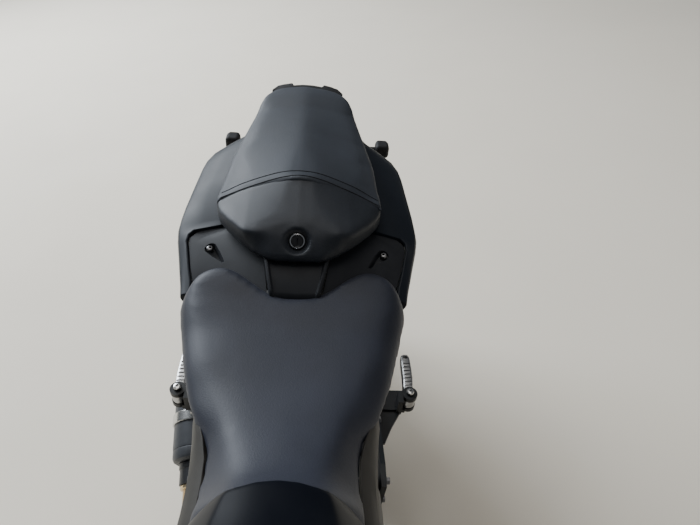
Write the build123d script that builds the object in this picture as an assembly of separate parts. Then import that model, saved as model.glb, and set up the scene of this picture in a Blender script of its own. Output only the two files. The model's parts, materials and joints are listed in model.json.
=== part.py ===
"""A naked roadster motorcycle, parked on its side stand with the bars on their left stop.

Every piece is drawn upright and straight ahead in the bike frame, in millimetres: X forward, Y to the
rider's left, Z up, with the origin on the ground midway between the wheel axles. The steered pieces are
drawn in the fork frame, whose Z is the steering axis. At the end the bike is leaned over on its stand
and moved so that the row's origin is on the ground under the middle of its bounding box.
"""
import math
import os

from build123d import *

# Wheels and steering
WHEELBASE = 1430.0
RAKE = 24.5
TRAIL = 100.0
FRONT_TYRE_R = 300.0
FRONT_TYRE_W = 120.0
REAR_TYRE_R = 315.0
REAR_TYRE_W = 168.0
RIM_R = 214.0
FRONT_RIM_W = 92.0
REAR_RIM_W = 138.0
RIM_FLANGE_R = 226.0
SEAT_GAP = 0.3
HUB_R = 34.0
AXLE_R = 12.5
AXLE_BORE_R = 8.0
RUNNING_GAP = 0.05
SPOKE_COUNT = 5
FRONT_DISC_R = 155.0
REAR_DISC_R = 120.0
DISC_T = 5.0
DISC_BAND = 34.0
FRONT_DISC_Y = 68.0
REAR_DISC_Y = -96.0

# Fork and bars, along the steering axis
FORK_SPREAD = 210.0
FORK_SLIDER_R = 28.0
FORK_TUBE_R = 21.5
LOWER_CLAMP_S = 800.0
UPPER_CLAMP_S = 1020.0
CLAMP_T = 30.0
SLIDER_TOP_S = 604.0
STEM_R = 16.0
HEAD_TUBE_R = 34.0
BAR_R = 11.1
BAR_HALF = 385.0
GRIP_R = 17.0
GRIP_L = 122.0
STEER_LOCK = 30.0
LAMP_X = 172.0
LAMP_S = 905.0
LAMP_R = 88.0
LAMP_DEPTH = 104.0
STEER_PARK = STEER_LOCK

# Chassis
LEAN = 8.2
PIVOT_X = -190.0
PIVOT_Z = 400.0
SWINGARM_IN = 112.0
SWINGARM_W = 24.0
PLATE_T = 14.0
CHAIN_Y = 101.0
CHAIN_PITCH = 15.875
REAR_TEETH = 43
FRONT_TEETH = 16
FRONT_SPROCKET_X = -105.0
SPAR_R = 19.0
SPAR_BEND = 60.0
BRACE_R = 13.0
RAIL_R = 12.0
BOSS_R = 13.0
BOSS_BORE_R = 5.0
BOSS_L = 20.0
BOSS_AHEAD = 105.0
RACK_HOLE_LEFT = (-262.0, 456.0)
RACK_HOLE_RIGHT = (-296.0, 452.0)
RACK_HOLE_R = 4.0
STEM_HOLE_R = 9.0
STEM_HOLE_DEPTH = 26.0

# Seat and tail, read off the photograph
SEAT_FRONT_X = -17.3
SEAT_WING_X = -300.0
SEAT_REAR_X = -352.0
SEAT_WING_HALF = 150.0
PILLION_LIP_X = -347.0
PILLION_SEAM_X = -461.0
PILLION_REAR_X = -758.0
PILLION_HALF = 124.0
PILLION_TOP_Z = 918.0
COWL_HALF = 187.0
TAIL_END_X = -798.0
HANGER_HALF = 46.0
SIGNAL_AT = (-958.0, 183.0, 696.0)
SIGNAL_W = 34.0
PLATE_BOLT_X = -391.0
PLATE_BOLT_Y = 128.0
PEG_X = -391.0
PEG_Y = 223.0
PEG_Z = 460.0
PEG_LENGTH = 108.0
BRACKET_T = 9.0

# Tank and engine
TANK_REAR_X = -17.0
TANK_FRONT_X = 300.0
CAP_X = 190.0
CAP_R = 36.0
CAP_Z = 998.0
CAP_HINGE_Z = CAP_Z + 7.0
CASE_HALF = 110.5
HEAD_HALF = 92.0
CYLINDER_TILT = 18.0
BARREL_FOOT = (178.0, 0.0, 462.0)
BARREL_H = 124.0
FIN_COUNT = 5
FIN_T = 7.0
HEAD_H = 92.0
HEAD_L = 176.0
CAM_COVER_H = 40.0
# Round covers on the crankcase's sides: side, x, z, radius, how far it stands out
CASE_COVERS = [(-1, 2, 334, 84, 44), (-1, 158, 320, 56, 26), (1, 128, 330, 80, 42), (1, -92, 400, 62, 22)]
MUFFLER_R = 49.0
PIPE_R = 25.0
HEADER_R = 20.0
SHOCK_AT = (-240.0, 0.0, 575.0)
SHOCK_DIR = (0.32, 0.0, 1.0)
STAND_LEG_R = 11.0
STAND_REACH_Y = 250.0
STAND_FOOT_X = -55.0
STAND_PIVOT = (-152.0, 136.0, 240.0)

XF = WHEELBASE / 2
PLATE_Y = SWINGARM_IN + SWINGARM_W + SEAT_GAP + PLATE_T / 2
XR = -WHEELBASE / 2
SIN_RAKE, COS_RAKE = math.sin(math.radians(RAKE)), math.cos(math.radians(RAKE))
AXIS_FOOT_X = XF + TRAIL
SIN_TILT, COS_TILT = math.sin(math.radians(CYLINDER_TILT)), math.cos(math.radians(CYLINDER_TILT))
AXLE_S = FRONT_TYRE_R * COS_RAKE + TRAIL * SIN_RAKE
FORK_OFFSET = FRONT_TYRE_R * SIN_RAKE - TRAIL * COS_RAKE
FORK_FRAME = Plane(origin=(AXIS_FOOT_X, 0, 0), x_dir=(COS_RAKE, 0, SIN_RAKE), z_dir=(-SIN_RAKE, 0, COS_RAKE))


def from_fork(x, y, s):
    """The bike frame's point of a fork-frame point, so that a piece follows the steering axis."""
    return AXIS_FOOT_X + x * COS_RAKE - s * SIN_RAKE, y, x * SIN_RAKE + s * COS_RAKE


def part_way(start, end, share):
    """The point a share of the way from one point to another."""
    return tuple(a + (b - a) * share for a, b in zip(start, end))


def rod(points, radius, bend=None):
    """A round bar through points, with arcs of the given radius at its corners."""
    path = Polyline(*points) if bend is None or len(points) == 2 else FilletPolyline(*points, radius=bend)
    start = Plane(origin=path @ 0, z_dir=path % 0)
    return sweep(start * Circle(radius), path=path)


def lug(centre, axis, radius, length):
    """A round boss centred on a point, along an axis."""
    return Plane(origin=centre, z_dir=axis) * Cylinder(radius, length)


def both_sides(shape):
    """A piece and its mirror image across the bike's middle plane."""
    return Compound(children=[*shape.solids(), *mirror(shape, about=Plane.XZ).solids()])


def side_outline(points, y0, y1):
    """A flat shape drawn in the bike's side view, as thick as y0 to y1."""
    face = make_face(Polyline(*[(x, y0, z) for x, z in points], close=True))
    return extrude(face, amount=y1 - y0, dir=(0, 1, 0))


def section(x, z_bottom, z_top, half_bottom, half_top, crown=0.0, lean_x=0.0, shoulder=0.0):
    """A closed cross section at x: flat bottom, sloped sides with a bulge, arched top."""
    z_mid = z_bottom + (z_top - z_bottom) * 0.45
    half_mid = max(half_bottom, half_top) + shoulder
    bottom_left, bottom_right = (x, half_bottom, z_bottom), (x, -half_bottom, z_bottom)
    top_left, top_right = (x - lean_x, half_top, z_top), (x - lean_x, -half_top, z_top)
    mid_left, mid_right = (x - lean_x / 2, half_mid, z_mid), (x - lean_x / 2, -half_mid, z_mid)
    peak = (x - lean_x, 0, z_top + max(crown, 0.5))
    edges = [
        Line(bottom_left, bottom_right),
        ThreePointArc(bottom_right, mid_right, top_right),
        ThreePointArc(top_right, peak, top_left),
        ThreePointArc(top_left, mid_left, bottom_left),
    ]
    return make_face(edges)


def lofted(rows, ruled=False):
    """A body lofted through rows of section() arguments."""
    return loft([section(*row) for row in rows], ruled=ruled)


def tyre(radius, width, rim_width):
    """A round-crowned tyre about Y, filled down to the rim's barrel."""
    inner = RIM_R - 6 + SEAT_GAP
    shoulder = radius - width * 0.42
    side_r = RIM_FLANGE_R + (shoulder - RIM_FLANGE_R) * 0.5 + 2
    half = width / 2
    bead = rim_width / 2
    profile = make_face([
        ThreePointArc((shoulder, -half, 0), (radius, 0, 0), (shoulder, half, 0)),
        ThreePointArc((shoulder, half, 0), (side_r, half - 1, 0), (RIM_FLANGE_R + 1, bead - 3, 0)),
        Line((RIM_FLANGE_R + 1, bead - 3, 0), (inner, bead - 9, 0)),
        Line((inner, bead - 9, 0), (inner, -bead + 9, 0)),
        Line((inner, -bead + 9, 0), (RIM_FLANGE_R + 1, -bead + 3, 0)),
        ThreePointArc((RIM_FLANGE_R + 1, -bead + 3, 0), (side_r, -half + 1, 0), (shoulder, -half, 0)),
    ])
    return revolve(profile, axis=Axis.Y)


def rim(width, hub_width):
    """A cast wheel about Y: barrel, flanges, hub and forked spokes."""
    half = width / 2
    well = RIM_R - 16
    outside = [(well, 14), (RIM_R - 6, half - 16), (RIM_R - 6, half - 8), (RIM_FLANGE_R - 2, half - 2),
               (RIM_FLANGE_R, half + 3), (RIM_R + 2, half + 3), (RIM_R - 14, half - 6), (well - 8, 18)]
    closed = [(r, y, 0) for r, y in outside] + [(r, -y, 0) for r, y in reversed(outside)]
    profile = make_face(Polyline(*closed, close=True))
    barrel = revolve(profile, axis=Axis.Y)
    hub = Rot(90, 0, 0) * Cylinder(HUB_R, hub_width)
    wheel = barrel + hub
    fork_r = HUB_R + 52
    for i in range(SPOKE_COUNT):
        turn = Rot(0, 360 / SPOKE_COUNT * i, 0)
        foot = HUB_R - 8
        stem = make_face(Polyline((foot, -17), (fork_r, -12), (fork_r, 12), (foot, 17), close=True))
        wheel += turn * extrude(Plane.XZ * stem, amount=15, both=True)
        for sign in (-1, 1):
            arm = make_face(Polyline(
                (fork_r - 12, sign * 2), (fork_r - 4, sign * 14), (well - 2, sign * 44),
                (well - 2, sign * 28), (fork_r + 20, sign * 5), close=True))
            wheel += turn * extrude(Plane.XZ * arm, amount=12, both=True)
    bore = Rot(90, 0, 0) * Cylinder(AXLE_R + RUNNING_GAP, hub_width + 4)
    return wheel - bore


def disc(radius, y, hub_r):
    """A brake disc about Y: the swept band and a five-armed carrier."""
    band = Cylinder(radius, DISC_T) - Cylinder(radius - DISC_BAND, DISC_T + 2)
    carrier = Cylinder(hub_r + 14, DISC_T) - Cylinder(hub_r + SEAT_GAP, DISC_T + 2)
    reach = radius - DISC_BAND + 4
    for i in range(SPOKE_COUNT):
        arm = Pos((hub_r + 8 + reach) / 2, 0, 0) * Box(reach - hub_r - 8, 20, DISC_T)
        carrier += Rot(0, 0, 360 / SPOKE_COUNT * i + 36) * arm
    return Pos(0, y, 0) * Rot(90, 0, 0) * (band + carrier)


def front_wheel():
    """The front rim, tyre and discs about the front axle, in the bike frame."""
    at = Pos(XF, 0, FRONT_TYRE_R)
    discs = [disc(FRONT_DISC_R, y, HUB_R) for y in (-FRONT_DISC_Y, FRONT_DISC_Y)]
    hub_w = 2 * FRONT_DISC_Y + DISC_T + 4
    return {
        "front_rim": at * rim(FRONT_RIM_W, hub_w),
        "front_tyre": at * tyre(FRONT_TYRE_R, FRONT_TYRE_W, FRONT_RIM_W),
        "front_discs": at * Compound(children=[s for d in discs for s in d.solids()]),
    }


def rear_wheel():
    """The rear rim, tyre, disc and sprocket about the rear axle."""
    at = Pos(XR, 0, REAR_TYRE_R)
    pitch_r = CHAIN_PITCH / 2 / math.sin(math.pi / REAR_TEETH)
    tip, root = pitch_r - 5.6, pitch_r - 11
    teeth = []
    for i in range(REAR_TEETH):
        for r, shift in ((root, 0.0), (tip, 0.35), (tip, 0.65)):
            a = 2 * math.pi * (i + shift) / REAR_TEETH
            teeth.append((r * math.cos(a), r * math.sin(a)))
    plate = extrude(make_face(Polyline(*teeth, close=True)), amount=3.2, both=True)
    plate -= Cylinder(HUB_R + SEAT_GAP, 20)
    for i in range(SPOKE_COUNT):
        plate -= Rot(0, 0, 72 * i + 20) * Pos(68, 0, 0) * Cylinder(17, 20)
    hub_w = 2 * (CHAIN_Y + 5)
    return {
        "rear_rim": at * rim(REAR_RIM_W, hub_w),
        "rear_tyre": at * tyre(REAR_TYRE_R, REAR_TYRE_W, REAR_RIM_W),
        "rear_disc": at * disc(REAR_DISC_R, REAR_DISC_Y, HUB_R),
        "rear_sprocket": at * Pos(0, CHAIN_Y, 0) * Rot(90, 0, 0) * plate,
    }


def fork_parts():
    """The steered pieces, in the fork frame."""
    half = FORK_SPREAD / 2
    legs, clamps = [], []
    for sign in (-1, 1):
        y = sign * half
        tube_top = UPPER_CLAMP_S + CLAMP_T / 2 + 6
        tube = Pos(FORK_OFFSET, y, (SLIDER_TOP_S + tube_top) / 2) * Cylinder(
            FORK_TUBE_R, tube_top - SLIDER_TOP_S)
        slider = Pos(FORK_OFFSET, y, (AXLE_S - 22 + SLIDER_TOP_S) / 2) * Cylinder(
            FORK_SLIDER_R, SLIDER_TOP_S - AXLE_S + 22)
        collar = Pos(FORK_OFFSET, y, SLIDER_TOP_S - 8) * Cylinder(FORK_SLIDER_R + 3, 22)
        ear = Pos(FORK_OFFSET - 50, y, AXLE_S + 72) * Box(76, 14, 84)
        leg = tube + slider + collar + ear
        leg -= Pos(FORK_OFFSET, y, AXLE_S) * Rot(90, 0, 0) * Cylinder(AXLE_R + RUNNING_GAP, 90)
        legs += leg.solids()
    for s in (LOWER_CLAMP_S, UPPER_CLAMP_S):
        outline = Pos(FORK_OFFSET * 0.5, 0, 0) * Box(54, FORK_SPREAD - 20, CLAMP_T)
        plate = outline + Pos(0, 0, 0) * Cylinder(STEM_R + 16, CLAMP_T)
        for sign in (-1, 1):
            plate += Pos(FORK_OFFSET, sign * half, 0) * Cylinder(FORK_TUBE_R + 12, CLAMP_T)
        for sign in (-1, 1):
            plate -= Pos(FORK_OFFSET, sign * half, 0) * Cylinder(FORK_TUBE_R + SEAT_GAP, CLAMP_T + 2)
            plate -= Pos(FORK_OFFSET * 0.5, sign * half * 0.5, 0) * Cylinder(13, CLAMP_T + 2)
        clamps.append(Pos(0, 0, s) * plate)
    stem = Pos(0, 0, (LOWER_CLAMP_S + UPPER_CLAMP_S) / 2) * Cylinder(STEM_R, UPPER_CLAMP_S - LOWER_CLAMP_S)
    crown = clamps[0] + clamps[1] + stem
    crown -= Pos(0, 0, LOWER_CLAMP_S - CLAMP_T / 2 + STEM_HOLE_DEPTH / 2 - 1) * Cylinder(
        STEM_HOLE_R, STEM_HOLE_DEPTH + 2)
    for sign in (-1, 1):
        crown += Pos(0, sign * 52, UPPER_CLAMP_S + CLAMP_T / 2 + 14) * Box(34, 24, 36)
    return {"triple_clamps": crown, "fork_legs": Compound(children=legs)}


BAR_CENTRE_S = UPPER_CLAMP_S + CLAMP_T / 2 + 32 + BAR_R
BAR_POINTS = [(0, 74, BAR_CENTRE_S), (-12, 165, BAR_CENTRE_S + 80), (-86, BAR_HALF, BAR_CENTRE_S + 84)]


def grip_direction():
    """The unit vector along the left grip, outwards, in the fork frame."""
    (x0, y0, s0), (x1, y1, s1) = BAR_POINTS[1:]
    length = math.dist((x0, y0, s0), (x1, y1, s1))
    return Vector((x1 - x0) / length, (y1 - y0) / length, (s1 - s0) / length)


def bar_parts():
    """The handlebar, grips, switch boxes, levers and mirrors, in the fork frame."""
    left = BAR_POINTS
    right = [(x, -y, s) for x, y, s in reversed(left)]
    bar = rod([*right, *left], BAR_R, bend=40)
    along = grip_direction()
    end = Vector(*BAR_POINTS[2])
    start = end - along * GRIP_L
    sleeve = Plane(origin=(start + end) / 2 + along * 2, z_dir=along) * (
        Cylinder(GRIP_R, GRIP_L) - Cylinder(BAR_R + SEAT_GAP, GRIP_L + 10))
    cap = Plane(origin=end + along * 10.3, z_dir=along) * Cylinder(GRIP_R - 2, 16)
    cap -= Plane(origin=end, z_dir=along) * Cylinder(BAR_R + SEAT_GAP, 10)
    box_at = start - along * 26
    switch = Plane(origin=box_at, z_dir=along) * (
        Box(44, 40, 40) - Cylinder(BAR_R + SEAT_GAP, 60))
    switch = fillet(switch.edges().filter_by(GeomType.LINE), 5)
    clamp_at = start - along * 62
    master = Plane(origin=clamp_at, z_dir=along) * (Cylinder(19, 22) - Cylinder(BAR_R + SEAT_GAP, 40))
    master += Pos(*(clamp_at + Vector(38, 2, 6))) * Box(40, 24, 26)
    reservoir = Pos(*(clamp_at + Vector(40, -10, 30))) * Cylinder(17, 32)
    blade_in = clamp_at + Vector(50, 14, 4)
    blade_mid = start + along * 30 + Vector(56, 0, 2)
    blade_out = end + along * -18 + Vector(44, 0, 0)
    lever = rod([tuple(blade_in), tuple(blade_mid), tuple(blade_out)], 6.5, bend=60)
    mirror_foot = clamp_at + Vector(0, 0, 20.4)
    mirror_top = mirror_foot + Vector(10, 96, 44)
    stalk = rod([tuple(mirror_foot), tuple(mirror_foot + Vector(4, 6, 34)), tuple(mirror_top)], 6, bend=24)
    glass_at = mirror_top + Vector(2, 30, 14)
    shell = Plane(origin=glass_at, x_dir=(-0.42, 0, 1), z_dir=(1, -0.12, 0.42)) * extrude(
        RectangleRounded(74, 128, 24), amount=20)
    return {
        "handlebar": bar,
        "grips": both_sides(Compound(children=[*sleeve.solids(), *cap.solids()])),
        "bar_controls": both_sides(Compound(children=[*switch.solids(), *(master + lever).solids(),
                                                      *reservoir.solids()])),
        "mirrors": both_sides(Compound(children=[*(stalk + shell).solids()])),
    }


def front_end_parts():
    """The lamp, display, mudguard, calipers and axle, in the fork frame."""
    ahead = Plane(origin=(LAMP_X, 0, LAMP_S), x_dir=(0, 1, 0), z_dir=(COS_RAKE, 0, -SIN_RAKE))
    bowl = revolve(make_face(Polyline(
        (0, 0, -LAMP_DEPTH), (LAMP_R * 0.45, 0, -LAMP_DEPTH), (LAMP_R * 0.8, 0, -LAMP_DEPTH * 0.66),
        (LAMP_R - 4, 0, -22), (LAMP_R, 0, -16), (LAMP_R, 0, 6), (LAMP_R - 7, 0, 6), (LAMP_R - 7, 0, -8),
        (0, 0, -8),
        close=True)), axis=Axis.Z)
    glass_r = LAMP_R - 7 - SEAT_GAP
    lens = revolve(make_face(Polyline(
        (0, 0, -8 + SEAT_GAP), (glass_r, 0, -8 + SEAT_GAP), (glass_r, 0, 2), (glass_r * 0.72, 0, 8),
        (glass_r * 0.38, 0, 12), (0, 0, 13), close=True)), axis=Axis.Z)
    shell, lens = ahead * bowl, ahead * lens
    for sign in (-1, 1):
        arm = Pos(FORK_OFFSET + 62, sign * (LAMP_R - 2), LAMP_S) * Box(110, 9, 44)
        ring = Pos(FORK_OFFSET, sign * FORK_SPREAD / 2, LAMP_S) * (
            Cylinder(FORK_TUBE_R + 4, 44) - Cylinder(FORK_TUBE_R + SEAT_GAP, 46))
        shell += arm - Pos(FORK_OFFSET, sign * FORK_SPREAD / 2, LAMP_S) * Cylinder(FORK_TUBE_R + SEAT_GAP, 60)
        shell += ring
    display = Plane(origin=(78, 0, UPPER_CLAMP_S + 78), x_dir=(0, 1, 0), z_dir=(-0.55, 0, 0.83)) * extrude(
        RectangleRounded(158, 96, 10), amount=16)
    stalk = Pos(54, 0, UPPER_CLAMP_S + 34) * Box(40, 60, 90)
    guard_r = FRONT_TYRE_R + 16
    half = FRONT_TYRE_W / 2 + 9
    arc_out = ThreePointArc((guard_r - 34, -half, 0), (guard_r + 3, 0, 0), (guard_r - 34, half, 0))
    arc_in = ThreePointArc((guard_r - 36, half - 3, 0), (guard_r, 0, 0), (guard_r - 36, -half + 3, 0))
    profile = make_face([arc_out, Line(arc_out @ 1, arc_in @ 0), arc_in, Line(arc_in @ 1, arc_out @ 0)])
    guard = Rot(0, -36, 0) * revolve(profile, axis=Axis.Y, revolution_arc=-124)
    guard = Pos(FORK_OFFSET, 0, AXLE_S) * guard
    stays = []
    for sign in (-1, 1):
        stays.append(Pos(FORK_OFFSET + 4, sign * (half + 5), AXLE_S + 256) * Box(64, 24, 88))
    guard = guard + stays[0] + stays[1]
    calipers = []
    for sign in (-1, 1):
        y = sign * FRONT_DISC_Y
        inner, outer = 47.0, FORK_SPREAD / 2 - 7 - SEAT_GAP
        body = Pos(0, sign * (inner + outer) / 2 - y, 0) * Box(66, outer - inner, 116)
        body -= Pos(6, 0, 0) * Box(66, DISC_T + 10, 140)
        body = Pos(FORK_OFFSET - 118, y, AXLE_S + 66) * Rot(0, 28, 0) * body
        calipers += body.solids()
    axle = Pos(FORK_OFFSET, 0, AXLE_S) * Rot(90, 0, 0) * (
        Cylinder(AXLE_R, FORK_SPREAD + 34) - Cylinder(AXLE_BORE_R, FORK_SPREAD + 40))
    return {
        "headlamp": shell,
        "headlamp_lens": lens,
        "display": display + stalk,
        "front_mudguard": guard,
        "front_calipers": Compound(children=calipers),
        "front_axle": axle,
    }


def frame():
    """The steel-tube frame: head tube, twin spars, braces and pivot plates."""
    head_mid = (LOWER_CLAMP_S + UPPER_CLAMP_S) / 2
    head_len = UPPER_CLAMP_S - LOWER_CLAMP_S - CLAMP_T - 4
    head = FORK_FRAME.location * (Pos(0, 0, head_mid) * (
        Cylinder(HEAD_TUBE_R, head_len) - Cylinder(STEM_R + 2, head_len + 2)))
    body = head
    upper = [from_fork(-16.2, 26, 921.7), from_fork(-104.3, 84, 906.9), (130, 150, 700),
             (PIVOT_X + 20, PLATE_Y, PIVOT_Z + 120)]
    lower = [from_fork(-20.4, 26, 837.9), from_fork(-101.8, 86, 811.2), (150, 150, 590),
             (PIVOT_X + 30, PLATE_Y, PIVOT_Z + 50)]
    tubes = [
        (upper, SPAR_R, SPAR_BEND),
        (lower, BRACE_R + 3, SPAR_BEND),
        ([part_way(upper[1], upper[2], 0.065), part_way(lower[1], lower[2], 0.364)], BRACE_R, None),
        ([part_way(upper[1], upper[2], 0.58), part_way(lower[1], lower[2], 0.407)], BRACE_R, None),
        ([part_way(upper[1], upper[2], 0.65), part_way(lower[1], lower[2], 0.98)], BRACE_R, None),
        ([part_way(upper[2], upper[3], 0.233), part_way(lower[2], lower[3], 0.065)], BRACE_R, None),
    ]
    left = None
    for points, radius, bend in tubes:
        piece = rod(points, radius, bend)
        left = piece if left is None else left + piece
    plate = side_outline([(-150, 556), (-204, 548), (-240, 440), (-236, 384), (-176, 320), (-162, 270),
                          (-96, 262), (-88, 292), (-150, 330), (-150, 470)],
                         PLATE_Y - PLATE_T / 2, PLATE_Y + PLATE_T / 2)
    left += plate
    body = body + left + mirror(left, about=Plane.XZ)
    for x, z in ((-186, 520), (-150, 296)):
        body += lug((x, 0, z), (0, 1, 0), 14, 2 * PLATE_Y)
    body -= lug((PIVOT_X, 0, PIVOT_Z), (0, 1, 0), 11, 400)
    return body


def subframe():
    """The bolted rear frame under the seats."""
    left = rod([(-70, 142, 585), (-250, 112, 742), (-690, 66, 838)], RAIL_R, 60)
    left += rod([(-188, 138, 540), (-520, 88, 792)], RAIL_R - 2)
    body = left + mirror(left, about=Plane.XZ)
    for x, z, half in ((-199, 700, 120), (-330, 760, 108), (-500, 796, 90), (-684, 836, 70)):
        body += lug((x, 0, z), (0, 1, 0), RAIL_R - 3, 2 * half)
    return body


def swingarm():
    """The box-section swingarm with its axle blocks and stand bosses."""
    arms = []
    for sign in (-1, 1):
        y_in = sign * SWINGARM_IN
        y_out = sign * (SWINGARM_IN + SWINGARM_W)
        outline = [(PIVOT_X - 8, PIVOT_Z + 26), (PIVOT_X - 160, PIVOT_Z + 10), (XR + 90, REAR_TYRE_R + 37),
                   (XR - 52, REAR_TYRE_R + 25), (XR - 58, REAR_TYRE_R - 25), (XR + 80, REAR_TYRE_R - 33),
                   (PIVOT_X - 150, PIVOT_Z - 44), (PIVOT_X - 8, PIVOT_Z - 26)]
        arm = side_outline(outline, min(y_in, y_out), max(y_in, y_out))
        arms.append(arm)
    body = arms[0] + arms[1]
    body += lug((PIVOT_X - 8, 0, PIVOT_Z), (0, 1, 0), 27, 2 * SWINGARM_IN + 1)
    cross = side_outline([(PIVOT_X - 30, PIVOT_Z + 40), (PIVOT_X - 120, PIVOT_Z + 24),
                          (PIVOT_X - 124, PIVOT_Z - 34), (PIVOT_X - 30, PIVOT_Z - 26)],
                         -SWINGARM_IN - 1, CHAIN_Y - 17)
    body += cross
    return body


def build_swingarm():
    """The swingarm with chain window, axle slots cleared and threaded bosses."""
    body = swingarm()
    body -= lug((PIVOT_X, 0, PIVOT_Z), (0, 1, 0), 11, 400)
    body -= lug((XR, 0, REAR_TYRE_R), (0, 1, 0), AXLE_R + RUNNING_GAP, 400)
    solids = list(body.solids())
    y_out = SWINGARM_IN + SWINGARM_W
    for sign in (-1, 1):
        centre = (XR + BOSS_AHEAD, sign * (y_out + BOSS_L / 2), REAR_TYRE_R)
        boss = lug(centre, (0, 1, 0), BOSS_R, BOSS_L) - lug(centre, (0, 1, 0), BOSS_BORE_R, BOSS_L + 2)
        solids += boss.solids()
    return solids


def chain():
    """The drive chain as one scalloped loop round both sprockets."""
    r1 = CHAIN_PITCH / 2 / math.sin(math.pi / REAR_TEETH)
    r0 = CHAIN_PITCH / 2 / math.sin(math.pi / FRONT_TEETH)
    c1, c0 = (XR, REAR_TYRE_R), (FRONT_SPROCKET_X, PIVOT_Z)
    dx, dz = c0[0] - c1[0], c0[1] - c1[1]
    gap = math.hypot(dx, dz)
    base = math.atan2(dz, dx)
    lift = math.asin((r1 - r0) / gap)
    run = gap * math.cos(lift)
    up = base + math.pi / 2 - lift
    down = base - math.pi / 2 + lift
    rear_arc = r1 * (math.pi + 2 * lift)
    front_arc = r0 * (math.pi - 2 * lift)
    total = 2 * run + rear_arc + front_arc
    links = round(total / CHAIN_PITCH / 2) * 2
    step = total / links / 2

    def at(t):
        """The point and outward direction a distance t along the chain."""
        if t < run:
            x = c1[0] + r1 * math.cos(up) + t * math.cos(up - math.pi / 2)
            z = c1[1] + r1 * math.sin(up) + t * math.sin(up - math.pi / 2)
            return x, z, up
        t -= run
        if t < front_arc:
            a = up - t / r0
            return c0[0] + r0 * math.cos(a), c0[1] + r0 * math.sin(a), a
        t -= front_arc
        if t < run:
            x = c0[0] + r0 * math.cos(down) + t * math.cos(down - math.pi / 2)
            z = c0[1] + r0 * math.sin(down) + t * math.sin(down - math.pi / 2)
            return x, z, down
        t -= run
        a = down - t / r1
        return c1[0] + r1 * math.cos(a), c1[1] + r1 * math.sin(a), a

    outer, inner = [], []
    for i in range(2 * links):
        x, z, a = at(i * step)
        half = 7.2 if i % 2 == 0 else 4.6
        outer.append((x + half * math.cos(a), z + half * math.sin(a)))
        inner.append((x - half * math.cos(a), z - half * math.sin(a)))
    plates = []
    for y0, y1 in ((CHAIN_Y - 8, CHAIN_Y - 4.4), (CHAIN_Y + 4.4, CHAIN_Y + 8)):
        plates.append(side_outline(outer, y0, y1) - side_outline(inner, y0 - 1, y1 + 1))
    return plates


def engine():
    """The parallel twin: crankcase, cylinders, head, covers and sump."""
    case = side_outline([(-122, 300), (-130, 420), (-100, 482), (60, 500), (250, 470), (292, 400), (280, 300),
                         (220, 226), (-60, 222)], -CASE_HALF, CASE_HALF)
    recess_y, recess_w = CHAIN_Y - 15, 100
    case -= Pos(FRONT_SPROCKET_X - 15, recess_y + recess_w / 2, PIVOT_Z) * Box(140, recess_w, 400)
    front_r = CHAIN_PITCH / 2 / math.sin(math.pi / FRONT_TEETH)
    case += lug((FRONT_SPROCKET_X, CHAIN_Y, PIVOT_Z), (0, 1, 0), front_r + 4, 8.2)
    case += lug((FRONT_SPROCKET_X, recess_y + 4, PIVOT_Z), (0, 1, 0), 14, 20)
    sump = side_outline([(20, 224), (50, 186), (190, 186), (215, 228)], -74, 74)
    tilt = Location(BARREL_FOOT, (0, CYLINDER_TILT, 0))
    block = Pos(0, 0, BARREL_H / 2) * Box(HEAD_L - 28, 2 * HEAD_HALF - 8, BARREL_H)
    fin_step = (BARREL_H - 24) / FIN_COUNT
    for k in range(FIN_COUNT):
        block += Pos(0, 0, 24 + fin_step * k) * Box(HEAD_L - 14, 2 * HEAD_HALF + 4, FIN_T)
    head = Pos(0, 0, BARREL_H + HEAD_H / 2) * Box(HEAD_L, 2 * HEAD_HALF, HEAD_H)
    cover = Pos(0, 0, BARREL_H + HEAD_H + CAM_COVER_H / 2) * Box(HEAD_L - 26, 2 * HEAD_HALF - 14, CAM_COVER_H)
    cover = chamfer(cover.edges().filter_by(Axis.Y), 14)
    covers = []
    for sign, x, z, r, t in CASE_COVERS:
        lid = lug((x, sign * (CASE_HALF + t / 2), z), (0, 1, 0), r, t)
        edge = lid.edges().filter_by(GeomType.CIRCLE).sort_by(Axis.Y)
        lid = fillet([edge[-1] if sign > 0 else edge[0]], 8)
        inner = lug((x, sign * (CASE_HALF + t + 3), z), (0, 1, 0), r * 0.62, 6)
        covers += (lid + inner).solids()
    top = tilt * (block + head)
    return {
        "crankcase": case + sump,
        "cylinders": top - case,
        "cam_cover": tilt * cover,
        "engine_covers": Compound(children=covers),
    }


MUFFLER_START = Vector(-292, -186, 326)
MUFFLER_END = Vector(-520, -212, 384)
COLLAR_L = 46.0
CLAMP_AHEAD = 112.0
COLLECTOR_Y = -24.0
COLLECTOR_Z = 152.0
PORT_Y = 52.0


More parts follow.
